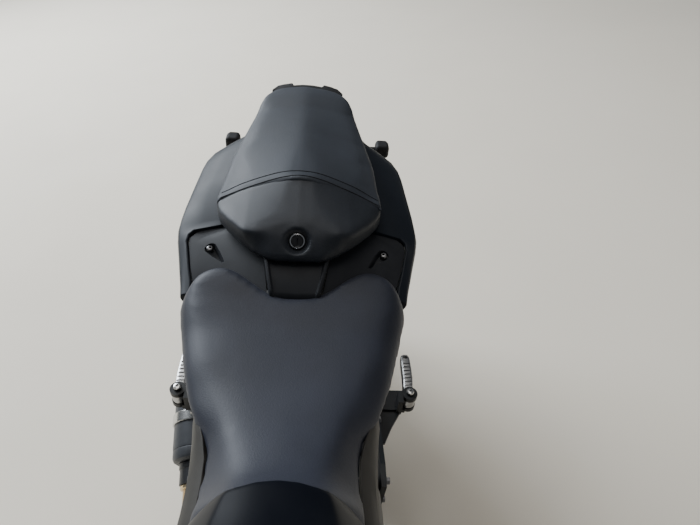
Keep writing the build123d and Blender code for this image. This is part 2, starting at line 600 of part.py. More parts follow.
def exhaust():
    """Two headers into one pipe, and the upswept silencer with its clamp."""
    along = (MUFFLER_END - MUFFLER_START).normalized()
    length = (MUFFLER_END - MUFFLER_START).length
    pipe_end = MUFFLER_START - along * COLLAR_L
    port = Vector(*BARREL_FOOT) + Vector(COS_TILT, 0, -SIN_TILT) * (HEAD_L / 2 + SEAT_GAP)
    port += Vector(SIN_TILT, 0, COS_TILT) * (BARREL_H + HEAD_H / 2)
    headers = None
    for y in (-PORT_Y, PORT_Y):
        path = [(port.X + 6, y, port.Z - 2), (392, y, 568), (364, y * 0.8, 330),
                (262, y * 0.45 - 14, COLLECTOR_Z), (120, COLLECTOR_Y, COLLECTOR_Z)]
        piece = rod(path, HEADER_R, 48)
        headers = piece if headers is None else headers + piece
    link = rod([(150, COLLECTOR_Y, COLLECTOR_Z), (20, -60, COLLECTOR_Z), (-110, -188, 176),
                tuple(pipe_end - along * 70), tuple(pipe_end + along * 30)], PIPE_R, 46)
    headers = headers + link
    for y in (-PORT_Y, PORT_Y):
        flange = Plane(origin=(port.X, y, port.Z), z_dir=(COS_TILT, 0, -SIN_TILT))
        headers += flange * Pos(0, 0, 5) * Cylinder(32, 10)
    start = Plane(origin=MUFFLER_START, z_dir=along)
    body = start * revolve(make_face(Polyline(
        (0, 0, 0), (MUFFLER_R - 12, 0, 0), (MUFFLER_R, 0, 12), (MUFFLER_R, 0, length - 30),
        (MUFFLER_R - 10, 0, length), (22, 0, length), (22, 0, length - 60), (0, 0, length - 60), close=True)),
        axis=Axis.Z)
    collar = start * Pos(0, 0, -COLLAR_L / 2) * (
        Cylinder(PIPE_R + 8, COLLAR_L) - Cylinder(PIPE_R + SEAT_GAP, COLLAR_L + 2))
    band = start * Pos(0, 0, CLAMP_AHEAD)
    clamp = band * (Cylinder(MUFFLER_R + 3.5, 22) - Cylinder(MUFFLER_R + SEAT_GAP, 24))
    clamp += band * Pos(0, MUFFLER_R + 12, 0) * Box(14, 24, 22)
    return {"exhaust_pipes": headers, "muffler": body + collar, "muffler_clamp": clamp}


def tank():
    """The fuel tank with its cap ring seat, and the hinged cap."""
    body = lofted([
        (TANK_REAR_X, 812, 888, 62, 42, 6, 0, 8),
        (90, 800, 948, 108, 58, 8, 0, 22),
        (180, 796, 984, 132, 72, 12, 0, 28),
        (252, 800, 984, 132, 74, 12, 0, 28),
        (TANK_FRONT_X, 832, 952, 104, 64, 8, 0, 16),
    ])
    keel = Box(800, 90, 100)
    body -= Pos(100, 0, 770) * keel
    cap_z = CAP_Z
    body -= Pos(CAP_X, 0, cap_z + 27) * Cylinder(CAP_R + 12, 60)
    for sign in (-1, 1):
        body += Pos(200, sign * 112, 762) * Box(34, 24, 100)
    well = Cylinder(CAP_R + 12, 6) - Pos(0, 0, 2) * Cylinder(CAP_R + 1, 6)
    ring = Pos(CAP_X, 0, cap_z) * well
    cap = Pos(CAP_X, 0, cap_z + 3.2) * Cylinder(CAP_R, 6)
    cap = chamfer(cap.edges().filter_by(GeomType.CIRCLE).sort_by(Axis.Z)[-1], 1.5)
    cap += Pos(CAP_X + CAP_R + 4, 0, CAP_HINGE_Z) * Rot(90, 0, 0) * Cylinder(3.5, 22)
    cap += Pos(CAP_X + CAP_R, 0, cap_z + 5) * Box(8, 22, 3)
    return {"fuel_tank": body, "filler_ring": ring, "filler_cap": cap}


def mirrored_outline(half):
    """A closed plan outline from one side's (x, y) points, front to rear."""
    return [*half, *[(x, -y) for x, y in reversed(half)]]


def plan_and_profile(plan, profile, z0=600.0, z1=1100.0):
    """The solid that has one outline seen from above and another seen from the side."""
    outline = [(x, y, z0) for x, y in mirrored_outline(plan)]
    above = extrude(make_face(Polyline(*outline, close=True)), amount=z1 - z0)
    beside = side_outline(profile, -400, 400)
    return above & beside


def seats():
    """The rider seat, the pillion seat with its lock dish, the lock and the bridge plate."""
    plan = [(SEAT_FRONT_X, 60), (-46, 84), (-86, 86), (-120, 99), (-150, 112), (-205, 130), (-250, 143),
            (SEAT_WING_X, SEAT_WING_HALF), (-326, 140), (-346, 126), (SEAT_REAR_X, 105), (-345, 78),
            (-324, 50), (-312, 32), (-308, 16)]
    top = [(SEAT_FRONT_X, 868), (-44, 850), (-90, 832), (-150, 822), (-230, 821), (-296, 829), (-330, 840),
           (-356, 842)]
    seat = plan_and_profile(plan, [*top, (-356, 796), (-250, 784), (-130, 788), (SEAT_FRONT_X, 808)])
    plan = [(PILLION_LIP_X, 20), (-353, 52), (-367, 70), (-381, 87), (-397, 103), (-427, 120),
            (-447, PILLION_HALF), (-471, PILLION_HALF), (-500, 118), (-543, 115), (-602, 102), (-640, 93),
            (-722, 83), (-750, 62), (PILLION_REAR_X, 20)]
    profile = [(-346, 856), (-380, 893), (PILLION_SEAM_X, PILLION_TOP_Z), (-600, 916), (-700, 919),
               (-740, 926), (-760, 922), (-760, 884), (-600, 872), (-440, 852)]
    pillion = plan_and_profile(plan, profile)
    normal = Vector(37, 0, 34).normalized()
    centre = Vector(-363, 0, 874.5)
    dish = Plane(origin=centre - normal * 8, z_dir=normal)
    pillion -= dish * Pos(0, 0, 20) * Cylinder(21, 40)
    lock = dish * (Pos(0, 0, 3) * Cylinder(19, 6) + Pos(0, 0, 8) * Cylinder(13, 6))
    lock -= dish * Pos(0, 0, 11) * Box(3, 12, 4)
    bridge = plan_and_profile([(-304, 28), (-343, 44), (-356, 46)],
                              [(-303, 824), (-357, 852), (-357, 800), (-303, 800)])
    return {"rider_seat": seat, "pillion_seat": pillion, "seat_lock": lock, "bridge_plate": bridge}


def tail():
    """The tail side panels, inner plates with their screws, tail end, lamp and undertray."""
    outer = [(-325, 163), (-366, 171), (-418, 183), (-446, COWL_HALF), (-487, 185), (-533, 181), (-584, 177),
             (-629, 167), (-652, 150), (-676, 126), (-700, 104), (-740, 84), (-758, 76)]
    inner = [(-758, 54), (-752, 66), (-740, 75), (-716, 87), (-640, 96), (-602, 105), (-543, 118),
             (-500, 121), (-471, 127.5), (-435, 158), (-412, 168), (-379, 160), (-338, 148), (-327, 145)]
    face = make_face(Polyline(*[(x, y, 700) for x, y in [*outer, *inner]], close=True))
    panel = extrude(face, amount=300)
    panel &= side_outline([(-322, 802), (-410, 834), (-500, 842), (-640, 868), (-760, 896), (-760, 866),
                           (-640, 820), (-480, 752), (-400, 742), (-322, 778)], 0, 400)
    floor_z, plate_t = 812.0, 16.0
    well = [(-352, 122), (-390, 104), (-440, 122), (-444, 148), (-432, 164), (-412, 172), (-379, 164),
            (-344, 152)]
    plate = extrude(make_face(Polyline(*[(x, y, floor_z) for x, y in well], close=True)), amount=plate_t)
    bolt = Pos(PLATE_BOLT_X, PLATE_BOLT_Y, floor_z + plate_t + 2 + SEAT_GAP) * Cylinder(8, 4)
    end = plan_and_profile([(PILLION_REAR_X - SEAT_GAP, 48), (-765, 64), (-784, 57), (TAIL_END_X, 32),
                            (-789, 15), (-788, 8)],
                           [(-759, 926), (-800, 918), (-800, 872), (-759, 868)])
    lamp = plan_and_profile([(-765, 46), (-792, 44), (-800, 20)],
                            [(-762, 866), (-802, 868), (-806, 846), (-762, 838)])
    tray = plan_and_profile([(-400, 60), (-560, 58), (-700, 48), (-758, 46)],
                            [(-400, 846), (-440, 852 - SEAT_GAP), (-600, 872 - SEAT_GAP),
                             (-758, 884 - SEAT_GAP), (-762, 840), (-700, 812), (-560, 776), (-400, 742)])
    for x, z, half in ((-470, 817, 132), (-640, 847, 102)):
        tray += Pos(x, 0, z) * Box(22, 2 * half, 8)
    for x, z, half in ((-500, 796, 86), (-684, 836, 66)):
        tray -= lug((x, 0, z), (0, 1, 0), RAIL_R - 3 + SEAT_GAP, 400)
    return {
        "tail_panel_left": panel,
        "tail_panel_right": mirror(panel, about=Plane.XZ),
        "inner_plates": both_sides(plate),
        "plate_screws": both_sides(bolt),
        "tail_end": end,
        "tail_lamp": lamp,
        "undertray": tray,
    }


def side_covers():
    """The covers under the seat's nose, one each side."""
    rows = [(-150, 664, 778, 124, 112, 0.5, 0, 3), (-60, 610, 786, 136, 100, 0.5, 0, 4),
            (20, 620, 770, 138, 106, 0.5, 0, 4)]
    body = lofted(rows)
    body -= Pos(-60, 0, 700) * Box(400, 2 * 96, 400)
    solids = body.solids().sort_by(Axis.Y)
    return {"side_cover_right": solids[0], "side_cover_left": solids[-1]}


def rear_fittings():
    """The rear mudguard with blank plate, signals, caliper, axle and brackets."""
    hanger = side_outline([(-690, 818), (-752, 846), (-762, 837.7), (-806, 837.7), (-990, 690), (-1000, 600),
                           (-984, 600), (-972, 676), (-800, 786)], -HANGER_HALF, HANGER_HALF)
    plate = side_outline([(-989.5, 700), (-992.5, 700), (-1010, 540), (-1007, 540)], -100, 100)
    signals = []
    sx, sy, sz = SIGNAL_AT
    stalk_in, stalk_out = HANGER_HALF + SEAT_GAP, sy - SIGNAL_W / 2 + 4
    for sign in (-1, 1):
        stalk = lug((sx + 3, sign * (stalk_in + stalk_out) / 2, sz), (0, 1, 0), 7, stalk_out - stalk_in)
        body = Pos(sx, sign * sy, sz) * Box(36, SIGNAL_W, 34)
        body = fillet(body.edges(), 9)
        signals += (stalk + body).solids()
    caliper = Box(104, 50, 62) - Pos(0, 0, -14) * Box(120, DISC_T + 8, 62)
    caliper = Pos(XR + 20, REAR_DISC_Y, REAR_TYRE_R + REAR_DISC_R - 8) * Rot(0, -8, 0) * caliper
    top = REAR_TYRE_R + REAR_DISC_R - 43
    hold = side_outline([(XR - 26, REAR_TYRE_R - 15), (XR - 26, top), (XR + 66, top),
                         (XR + 60, REAR_TYRE_R + 15), (XR + 24, REAR_TYRE_R - 23)],
                        SEAT_GAP - SWINGARM_IN, REAR_DISC_Y - 11)
    hold -= lug((XR, 0, REAR_TYRE_R), (0, 1, 0), AXLE_R + 12.5, 400)
    width = 2 * (SWINGARM_IN + SWINGARM_W) + 24
    hub = (XR, 0, REAR_TYRE_R)
    nut_t, spacer_t = 12, 5
    axle = lug(hub, (0, 1, 0), AXLE_R, width)
    axle += lug(hub, (0, 1, 0), 21, width) - lug(hub, (0, 1, 0), 22, width - 2 * nut_t + 2 * SEAT_GAP)
    for sign in (-1, 1):
        spacer_y = CHAIN_Y + 5 + 0.4 + spacer_t / 2
        axle += lug((XR, sign * spacer_y, REAR_TYRE_R), (0, 1, 0), 20, spacer_t)
    axle -= lug(hub, (0, 1, 0), AXLE_BORE_R, width + 4)
    shock = lug(SHOCK_AT, SHOCK_DIR, 30, 160) + lug(SHOCK_AT, SHOCK_DIR, 12, 282)
    return {
        "rear_mudguard": hanger,
        "blank_plate": plate,
        "rear_signals": Compound(children=signals),
        "rear_caliper": caliper + hold,
        "rear_axle": axle,
        "rear_shock": shock,
    }


def pegs():
    """The pegs' brackets on the frame and the folding pegs, left side; mirrored on the right."""
    face_y = PLATE_Y + PLATE_T / 2
    bracket = side_outline([(-196, 500), (-234, 504), (PEG_X - 14, 462), (PEG_X - 14, 436), (PEG_X + 20, 432),
                            (-240, 404), (-200, 404)], face_y, face_y + BRACKET_T)
    arm = Pos(PEG_X + 2, 186, PEG_Z - 16) * Box(30, 60, 10)
    lower = Pos(PEG_X, PEG_Y, PEG_Z - 16) * Cylinder(15, 10)
    upper = Pos(PEG_X, PEG_Y, PEG_Z + 16) * Cylinder(15, 10)
    pin = Pos(PEG_X, PEG_Y, PEG_Z) * Cylinder(5, 42)
    head = Pos(PEG_X, PEG_Y, PEG_Z + 23) * Cylinder(7, 5)
    back = Pos(PEG_X + 9, PEG_Y - 19, PEG_Z) * Box(24, 10, 42)
    bracket = bracket + arm + lower + upper + pin + head + back
    drilled = {}
    for side, (x, z) in (("left", RACK_HOLE_LEFT), ("right", RACK_HOLE_RIGHT)):
        drilled[side] = bracket - lug((x, face_y + BRACKET_T / 2, z), (0, 1, 0), RACK_HOLE_R, BRACKET_T + 20)
    eye = Cylinder(14, 21.4) - Cylinder(5 + RUNNING_GAP, 30)
    bar = Pos(-(PEG_LENGTH - 8) / 2 - 8, 3, 0) * Box(PEG_LENGTH - 8, 22, 20)
    peg = Pos(PEG_X, PEG_Y, PEG_Z) * (eye + (bar - Cylinder(12, 40)))
    rider = side_outline([(-165, 400), (-200, 400), (-190, 332), (-116, 326), (-116, 350), (-150, 380)],
                         face_y, face_y + BRACKET_T)
    rider_bar = lug((-166, face_y + BRACKET_T + 50, 347), (0, 1, 0), 13, 102)
    rider = rider + rider_bar
    lever_y = face_y + BRACKET_T + SEAT_GAP + 8
    lever = rod([(-128, lever_y, 338), (-60, lever_y + 6, 312), (10, lever_y + 12, 320)], 7, 30)
    lever += lug((-128, lever_y, 338), (0, 1, 0), 11, 16) + lug((10, lever_y + 24, 320), (0, 1, 0), 9, 40)
    return {
        "peg_bracket_left": drilled["left"],
        "peg_bracket_right": mirror(drilled["right"], about=Plane.XZ),
        "passenger_peg_left": peg,
        "passenger_peg_right": mirror(peg, about=Plane.XZ),
        "rider_pegs": both_sides(rider),
        "pedals": both_sides(lever),
    }


def steered(angle):
    """The location that turns a fork-frame piece about the steering axis and puts it in the bike frame."""
    return FORK_FRAME.location * Rot(0, 0, angle)


def lowest(place, centre, across, radius, width):
    """The height of a round-crowned tyre's lowest point once placed."""
    half, drop = width / 2, width * 0.42
    crown = (half * half + drop * drop) / (2 * drop)
    centre_placed = place * Pos(*centre)
    tip_placed = place * Pos(*(centre + across))
    slope = tip_placed.position.Z - centre_placed.position.Z
    return centre_placed.position.Z - (radius - crown) * math.sqrt(1 - slope * slope) - crown


def parking_place():
    """The lean, pitch and lift that put both tyres on the ground as the bike leans on its stand."""
    turned = steered(STEER_PARK)
    hub = (turned * Pos(FORK_OFFSET, 0, AXLE_S)).position
    side = (turned * Pos(FORK_OFFSET, 1, AXLE_S)).position - hub
    pitch, lift = 0.0, 0.0
    for _ in range(4):
        place = Pos(0, 0, lift) * Rot(0, pitch, 0) * Rot(-LEAN, 0, 0)
        rear = lowest(place, Vector(XR, 0, REAR_TYRE_R), Vector(0, 1, 0), REAR_TYRE_R, REAR_TYRE_W)
        front = lowest(place, hub, side, FRONT_TYRE_R, FRONT_TYRE_W)
        pitch += math.degrees(math.asin((front - rear) / WHEELBASE))
        lift -= (front + rear) / 2
    return Pos(0, 0, lift) * Rot(0, pitch, 0) * Rot(-LEAN, 0, 0)


PARKED = parking_place()


def stand_vectors():
    """The side stand's pivot, foot, hinge axis and fold angle, in the bike frame."""
    pivot = Vector(*STAND_PIVOT)
    foot = (PARKED.inverse() * Pos(STAND_FOOT_X, STAND_REACH_Y, 0)).position
    down = (foot - pivot).normalized()
    back = Vector(-0.97, 0.17, -0.06).normalized()
    axis = down.cross(back).normalized()
    return pivot, foot, down, axis, math.degrees(math.acos(down.dot(back)))


def stand():
    """The side stand about its pin, and the frame lug that carries the pin."""
    pivot, foot, down, axis, _ = stand_vectors()
    hinge = Plane(origin=pivot, z_dir=axis)
    ring = Cylinder(19, 17) - Cylinder(8 + RUNNING_GAP, 20)
    leg_from = pivot + down * 14
    leg = rod([tuple(leg_from), tuple(foot + Vector(0, 0, 2))], STAND_LEG_R)
    leg -= hinge * Cylinder(8 + RUNNING_GAP, 60)
    for sign in (-1, 1):
        leg -= hinge * Pos(0, 0, sign * (8.5 + 20)) * Cylinder(24, 40)
    pad_at = (PARKED * Pos(*foot)).position
    pad = PARKED.inverse() * (Pos(pad_at.X, pad_at.Y, 4) * Cylinder(27, 8))
    under = PARKED.inverse() * (Pos(pad_at.X, pad_at.Y, -30) * Box(300, 300, 60))
    body = (hinge * ring) + leg + pad - under
    away = -1 if axis.Y > 0 else 1
    carrier = hinge * (Pos(0, 0, away * 19) * Cylinder(19, 20) + Pos(0, 0, away * 4) * Cylinder(8, 34)
                       + Pos(0, 0, -away * 12) * Cylinder(13, 6))
    carrier += Pos(pivot.X, pivot.Y - 25, 270) * Box(28, 14, 60)
    return body, carrier


# Pieces drawn into the piece that carries them and cut back to its surface
SEATED = [
    ("subframe", "frame"),
    ("rear_shock", "swingarm"),
    ("rear_shock", "subframe"),
    ("undertray", "tail_panel_left"),
    ("undertray", "tail_panel_right"),
    ("rear_mudguard", "undertray"),
    ("inner_plates", "tail_panel_left"),
    ("inner_plates", "tail_panel_right"),
    ("bridge_plate", "rider_seat"),
    ("bridge_plate", "pillion_seat"),
    ("side_cover_left", "frame"),
    ("side_cover_left", "subframe"),
    ("side_cover_right", "frame"),
    ("side_cover_right", "subframe"),
    ("fuel_tank", "frame"),
    ("front_mudguard", "fork_legs"),
    ("display", "triple_clamps"),
]


def seat_pieces(nodes):
    """Cut each seated piece back to its carrier, keeping the pieces that are more than slivers."""
    for name, carrier in SEATED:
        if name in nodes and carrier in nodes:
            cut = nodes[name] - nodes[carrier]
            solids = [solid for solid in cut.solids() if solid.volume > 500]
            nodes[name] = Compound(children=solids)
    return nodes


def modelled():
    """Every node in the parked bike's place, before the row frame's shift."""
    stand_leg, stand_lug = stand()
    fixed = {
        "frame": frame() + stand_lug,
        "subframe": subframe(),
        "swingarm": Compound(children=build_swingarm()),
        "drive_chain": Compound(children=chain()),
        **engine(), **exhaust(), **tank(), **seats(), **tail(), **side_covers(), **rear_fittings(), **pegs(),
        **rear_wheel(),
        "side_stand": stand_leg,
    }
    fixed = seat_pieces(fixed)
    forked = seat_pieces({**fork_parts(), **bar_parts(), **front_end_parts()})
    turn = steered(STEER_PARK)
    wheel_turn = turn * FORK_FRAME.location.inverse()
    nodes = {name: PARKED * shape for name, shape in fixed.items()}
    nodes.update({name: PARKED * turn * shape for name, shape in forked.items()})
    nodes.update({name: PARKED * wheel_turn * shape for name, shape in front_wheel().items()})
    return nodes


def row_shift(nodes):
    """The shift that puts the row's origin on the ground under the middle of the bounding box."""
    boxes = [shape.bounding_box() for shape in nodes.values()]
    x0, x1 = min(b.min.X for b in boxes), max(b.max.X for b in boxes)
    y0, y1 = min(b.min.Y for b in boxes), max(b.max.Y for b in boxes)
    return Pos(-(x0 + x1) / 2, -(y0 + y1) / 2, 0)


NODES = modelled()
SHIFT = row_shift(NODES)
os.makedirs("parts", exist_ok=True)
for name, shape in NODES.items():
    placed = SHIFT * shape
    solids = placed.solids()
    export_step(solids[0] if len(solids) == 1 else Compound(children=list(solids)), f"parts/{name}.step")
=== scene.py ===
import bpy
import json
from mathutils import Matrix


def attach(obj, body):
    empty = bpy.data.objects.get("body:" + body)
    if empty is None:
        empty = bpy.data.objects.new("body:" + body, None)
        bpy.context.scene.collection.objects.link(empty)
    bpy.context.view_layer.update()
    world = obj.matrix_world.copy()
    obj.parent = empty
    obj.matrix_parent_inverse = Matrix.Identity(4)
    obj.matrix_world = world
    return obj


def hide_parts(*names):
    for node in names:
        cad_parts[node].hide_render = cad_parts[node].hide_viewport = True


bl_info = {
    "name": "Roadster Motorcycle Dressing",
    "version": (1, 0, 0),
    "blender": (4, 5, 0),
    "location": "View3D > Sidebar > Motorcycle",
    "description": "Finishes and fine pieces of a naked roadster leaning on its side stand",
    "category": "Object",
}

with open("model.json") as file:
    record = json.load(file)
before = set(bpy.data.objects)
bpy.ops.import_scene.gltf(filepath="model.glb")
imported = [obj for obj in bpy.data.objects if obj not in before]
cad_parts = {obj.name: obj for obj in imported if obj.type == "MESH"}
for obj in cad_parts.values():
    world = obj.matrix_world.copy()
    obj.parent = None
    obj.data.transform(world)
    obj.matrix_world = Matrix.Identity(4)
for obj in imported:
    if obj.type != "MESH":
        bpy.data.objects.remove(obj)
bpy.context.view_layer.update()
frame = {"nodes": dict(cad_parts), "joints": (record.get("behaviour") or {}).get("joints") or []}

import json
import math

import bmesh
import bpy
from mathutils import Matrix, Vector
from mathutils.bvhtree import BVHTree

MM = 0.001
CLOTH_FRAMES = 20

def joint(name):
    """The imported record's joint of that name."""
    return next(j for j in frame["joints"] if j["name"] == name)


def place_from(origin, z_axis, y_axis, local_origin):
    """The matrix from a local frame in metres to the row frame, which puts local_origin at origin."""
    z = Vector(z_axis).normalized()
    y = Vector(y_axis)
    y = (y - z * y.dot(z)).normalized()
    x = y.cross(z)
    turn = Matrix((x, y, z)).transposed().to_4x4()
    return Matrix.Translation(Vector(origin)) @ turn @ Matrix.Translation(-Vector(local_origin))


# The upright bike frame: X forward from midway between the axles, Y to the rider's left, Z up from the ground
REAR_AXLE = Vector((-715, 0, 315)) * MM
FORK_AXLE = Vector((33.42, 0, 314.46)) * MM
BIKE = place_from(joint("rear_wheel_spin")["pos_m"], joint("passenger_peg_left_fold")["axis"],
                  joint("rear_wheel_spin")["axis"], REAR_AXLE)
FORK = place_from(joint("front_wheel_spin")["pos_m"], joint("steering")["axis"],
                  joint("front_wheel_spin")["axis"], FORK_AXLE)
# What a piece on the fork passes to its maker
STEERED = {"body": "steering", "place": FORK}


# Directions in a local frame
AHEAD, LEFT, UP = (1, 0, 0), (0, 1, 0), (0, 0, 1)
SIDES = (("left", 1), ("right", -1))


class Nodes:
    """A short way to write one material's nodes."""

    def __init__(self, name):
        self.material = bpy.data.materials.new(name)
        self.material.use_nodes = True
        self.tree = self.material.node_tree
        self.shader = self.tree.nodes["Principled BSDF"]
        self.where = self.place((1, 1, 1))

    def add(self, kind, **values):
        """A new node; values name its sockets."""
        node = self.tree.nodes.new(kind)
        for key, value in values.items():
            node.inputs[key].default_value = value
        return node

    def link(self, out, target, socket):
        """Join an output socket to a node's input."""
        self.tree.links.new(out, target.inputs[socket])

    def place(self, stretch):
        """Object coordinates through a Mapping node."""
        mapping = self.add("ShaderNodeMapping", Scale=stretch)
        self.link(self.add("ShaderNodeTexCoord").outputs["Object"], mapping, "Vector")
        return mapping.outputs["Vector"]

    def noise(self, scale, detail=3.0, roughness=0.5, where=None):
        """A noise field's factor."""
        node = self.add("ShaderNodeTexNoise", Scale=scale, Detail=detail, Roughness=roughness)
        self.link(where or self.where, node, "Vector")
        return node.outputs["Fac"]

    def cells(self, scale):
        """A Voronoi field's distance."""
        node = self.add("ShaderNodeTexVoronoi", Scale=scale)
        self.link(self.where, node, "Vector")
        return node.outputs["Distance"]

    def ramp(self, factor, *stops):
        """A colour ramp through (position, colour or grey) stops."""
        node = self.add("ShaderNodeValToRGB")
        marks = node.color_ramp.elements
        while len(marks) < len(stops):
            marks.new(0.5)
        for mark, (position, value) in zip(marks, stops):
            mark.position = position
            mark.color = (*value, 1) if hasattr(value, "__len__") else (value, value, value, 1)
        self.link(factor, node, "Fac")
        return node.outputs["Color"]

    def mix(self, factor, a, b):
        """Two colours mixed by a factor's socket; a and b are sockets or colours."""
        node = self.add("ShaderNodeMix")
        node.data_type = "RGBA"
        for socket, value in zip((node.inputs[0], node.inputs[6], node.inputs[7]), (factor, a, b)):
            if isinstance(value, bpy.types.NodeSocket):
                self.tree.links.new(value, socket)
            else:
                socket.default_value = (*value, 1)
        return node.outputs[2]

    def bump(self, height, depth, strength, under=None):
        """A bump from a height field, depth in metres, over another bump if given."""
        node = self.add("ShaderNodeBump", Strength=strength, Distance=depth)
        self.link(height, node, "Height")
        if under is not None:
            self.link(under, node, "Normal")
        return node.outputs["Normal"]

    def finish(self, **values):
        """Set the shader's inputs, each to a number or to what a socket gives."""
        for key, value in values.items():
            socket = self.shader.inputs[key.replace("_", " ")]
            if isinstance(value, bpy.types.NodeSocket):
                self.tree.links.new(value, socket)
            else:
                socket.default_value = value


# Mesh helpers, all in millimetres


def smooth_line(points, count, closed=False):
    """Evenly counted points on a Catmull-Rom curve through the given points of any dimension."""
    spans = len(points) if closed else len(points) - 1
    out = []
    for i in range(count):
        where = i * spans / (count if closed else count - 1)
        k = min(int(where), spans - 1)
        t = where - k
        if closed:
            p = [points[(k + j) % len(points)] for j in (-1, 0, 1, 2)]
        else:
            p = [points[min(max(k + j, 0), len(points) - 1)] for j in (-1, 0, 1, 2)]
        out.append(tuple(
            0.5 * (2 * b + (c - a) * t + (2 * a - 5 * b + 4 * c - d) * t * t
                   + (3 * b - a - 3 * c + d) * t ** 3)
            for a, b, c, d in zip(*p)))
    return out


def follow(stops, x):
    """The value at x of a table of (x, value) stops in rising x, on a smooth curve that never overshoots."""
    if x <= stops[0][0]:
        return stops[0][1]
    if x >= stops[-1][0]:
        return stops[-1][1]
    slopes = [(b[1] - a[1]) / (b[0] - a[0]) for a, b in zip(stops, stops[1:])]
    k = max(i for i, stop in enumerate(stops[:-1]) if stop[0] <= x)
    span = stops[k + 1][0] - stops[k][0]
    t = (x - stops[k][0]) / span

    def lean(i):
        """The curve's slope at stop i: the harmonic mean of the two beside it, or level at a turn."""
        if i == 0 or i == len(slopes):
            return slopes[min(i, len(slopes) - 1)]
        a, b = slopes[i - 1], slopes[i]
        return 2 * a * b / (a + b) if a * b > 0 else 0.0

    v0, v1 = stops[k][1], stops[k + 1][1]
    rise, fall = lean(k) * span, lean(k + 1) * span
    return (v0 * (1 + 2 * t) * (1 - t) ** 2 + rise * t * (1 - t) ** 2
            + v1 * t * t * (3 - 2 * t) - fall * t * t * (1 - t))


def straight(stops, x):
    """The value at x of a table of (x, value) stops in rising x, straight between them."""
    if x <= stops[0][0]:
        return stops[0][1]
    for (x0, v0), (x1, v1) in zip(stops, stops[1:]):
        if x <= x1:
            return v0 + (v1 - v0) * (x - x0) / (x1 - x0)
    return stops[-1][1]


def grid(bm, rows, round_u=False, round_v=False):
    """Faces over rows of points; round_u joins each row's ends, round_v joins the last row to the first."""
    verts = [[bm.verts.new(p) for p in row] for row in rows]
    height, width = len(verts), len(verts[0])
    for i in range(height if round_v else height - 1):
        for j in range(width if round_u else width - 1):
            a, b = verts[i], verts[(i + 1) % height]
            k = (j + 1) % width
            bm.faces.new((a[j], a[k], b[k], b[j]))
    return verts


def join_rings(bm, low, high, places=None):
    """Faces between two rings of vertices, all round or only at some places."""
    for i in range(len(low)) if places is None else places:
        k = (i + 1) % len(low)
        bm.faces.new((low[i], low[k], high[k], high[i]))


def loft(bm, rows):
    """A closed solid over rings of points, with a face at each end."""
    verts = grid(bm, rows, round_u=True)
    bm.faces.new(verts[0])
    bm.faces.new(verts[-1])
    return verts


def circle(steps, radius=1.0, start=0.0):
    """Points round a circle."""
    turns = (start + 2 * math.pi * i / steps for i in range(steps))
    return [(radius * math.cos(a), radius * math.sin(a)) for a in turns]


def spokes(axis, steps):
    """An axis as a unit vector, and the directions out from it all round."""
    z = Vector(axis).normalized()
    x = z.orthogonal().normalized()
    y = z.cross(x)
    return z, [x * u + y * v for u, v in circle(steps)]


def lathe(bm, profile, centre, axis, steps=48):
    """A turned shape from a closed profile of (radius, distance along the axis) points."""
    z, outs = spokes(axis, steps)
    rows = [[Vector(centre) + out * r + z * s for r, s in profile] for out in outs]
    grid(bm, rows, round_u=True, round_v=True)


def turned(bm, profile, centre, axis, steps=48):
    """A turned shape from an open profile that starts and ends on the axis."""
    z, outs = spokes(axis, steps)
    first, last = (bm.verts.new(Vector(centre) + z * profile[end][1]) for end in (0, -1))
    rows = [[Vector(centre) + z * s + out * r for out in outs] for r, s in profile[1:-1]]
    rings = grid(bm, rows, round_u=True)
    for j in range(steps):
        k = (j + 1) % steps
        bm.faces.new((first, rings[0][k], rings[0][j]))
        bm.faces.new((last, rings[-1][j], rings[-1][k]))


def tube(bm, points, radius, sides=12):
    """A round tube along points."""
    pts = [Vector(p) for p in points]
    normal = None
    rows = []
    for before, p, after in zip(pts[:1] + pts, pts, pts[1:] + pts[-1:]):
        tangent = (after - before).normalized()
        normal = tangent.orthogonal() if normal is None else normal - tangent * normal.dot(tangent)
        normal.normalize()
        side = tangent.cross(normal)
        rows.append([p + normal * u + side * v for u, v in circle(sides, radius)])
    loft(bm, rows)


def plate(bm, outline, origin, x_dir, y_dir, thick, inset=0.0):
    """A flat shape of an outline in its own x and y, thick along their cross product, with inset edges."""
    x, y = Vector(x_dir).normalized(), Vector(y_dir).normalized()
    z = x.cross(y).normalized()
    origin = Vector(origin)
    middle = Vector((sum(p[0] for p in outline), sum(p[1] for p in outline))) / len(outline)
    levels = [(0.0, 0.0), (thick, 0.0)]
    if inset:
        levels = [(0.0, inset), (inset, 0.0), (thick - inset, 0.0), (thick, inset)]
    rows = []
    for height, draw in levels:
        row = []
        for u, v in outline:
            away = Vector((u, v)) - middle
            p = middle + away * (1 - draw / max(away.length, draw * 2 + 0.001))
            row.append(origin + x * p.x + y * p.y + z * height)
        rows.append(row)
    loft(bm, rows)


def round_box_outline(width, height, radius, steps=6):
    """A rounded rectangle's outline about the origin."""
    out = []
    for k, (sx, sy) in enumerate(((1, 1), (-1, 1), (-1, -1), (1, -1))):
        for i in range(steps + 1):
            a = math.pi / 2 * (k + i / steps)
            out.append((sx * (width / 2 - radius) + radius * math.cos(a),
                        sy * (height / 2 - radius) + radius * math.sin(a)))
    return out


def mirrored(bm):
    """Add the mirror image across the bike's middle plane."""
    copied = bmesh.ops.duplicate(bm, geom=bm.verts[:] + bm.edges[:] + bm.faces[:])["geom"]
    fresh = [v for v in copied if isinstance(v, bmesh.types.BMVert)]
    for v in fresh:
        v.co.y = -v.co.y
    faces = [f for f in copied if isinstance(f, bmesh.types.BMFace)]
    bmesh.ops.reverse_faces(bm, faces=faces)


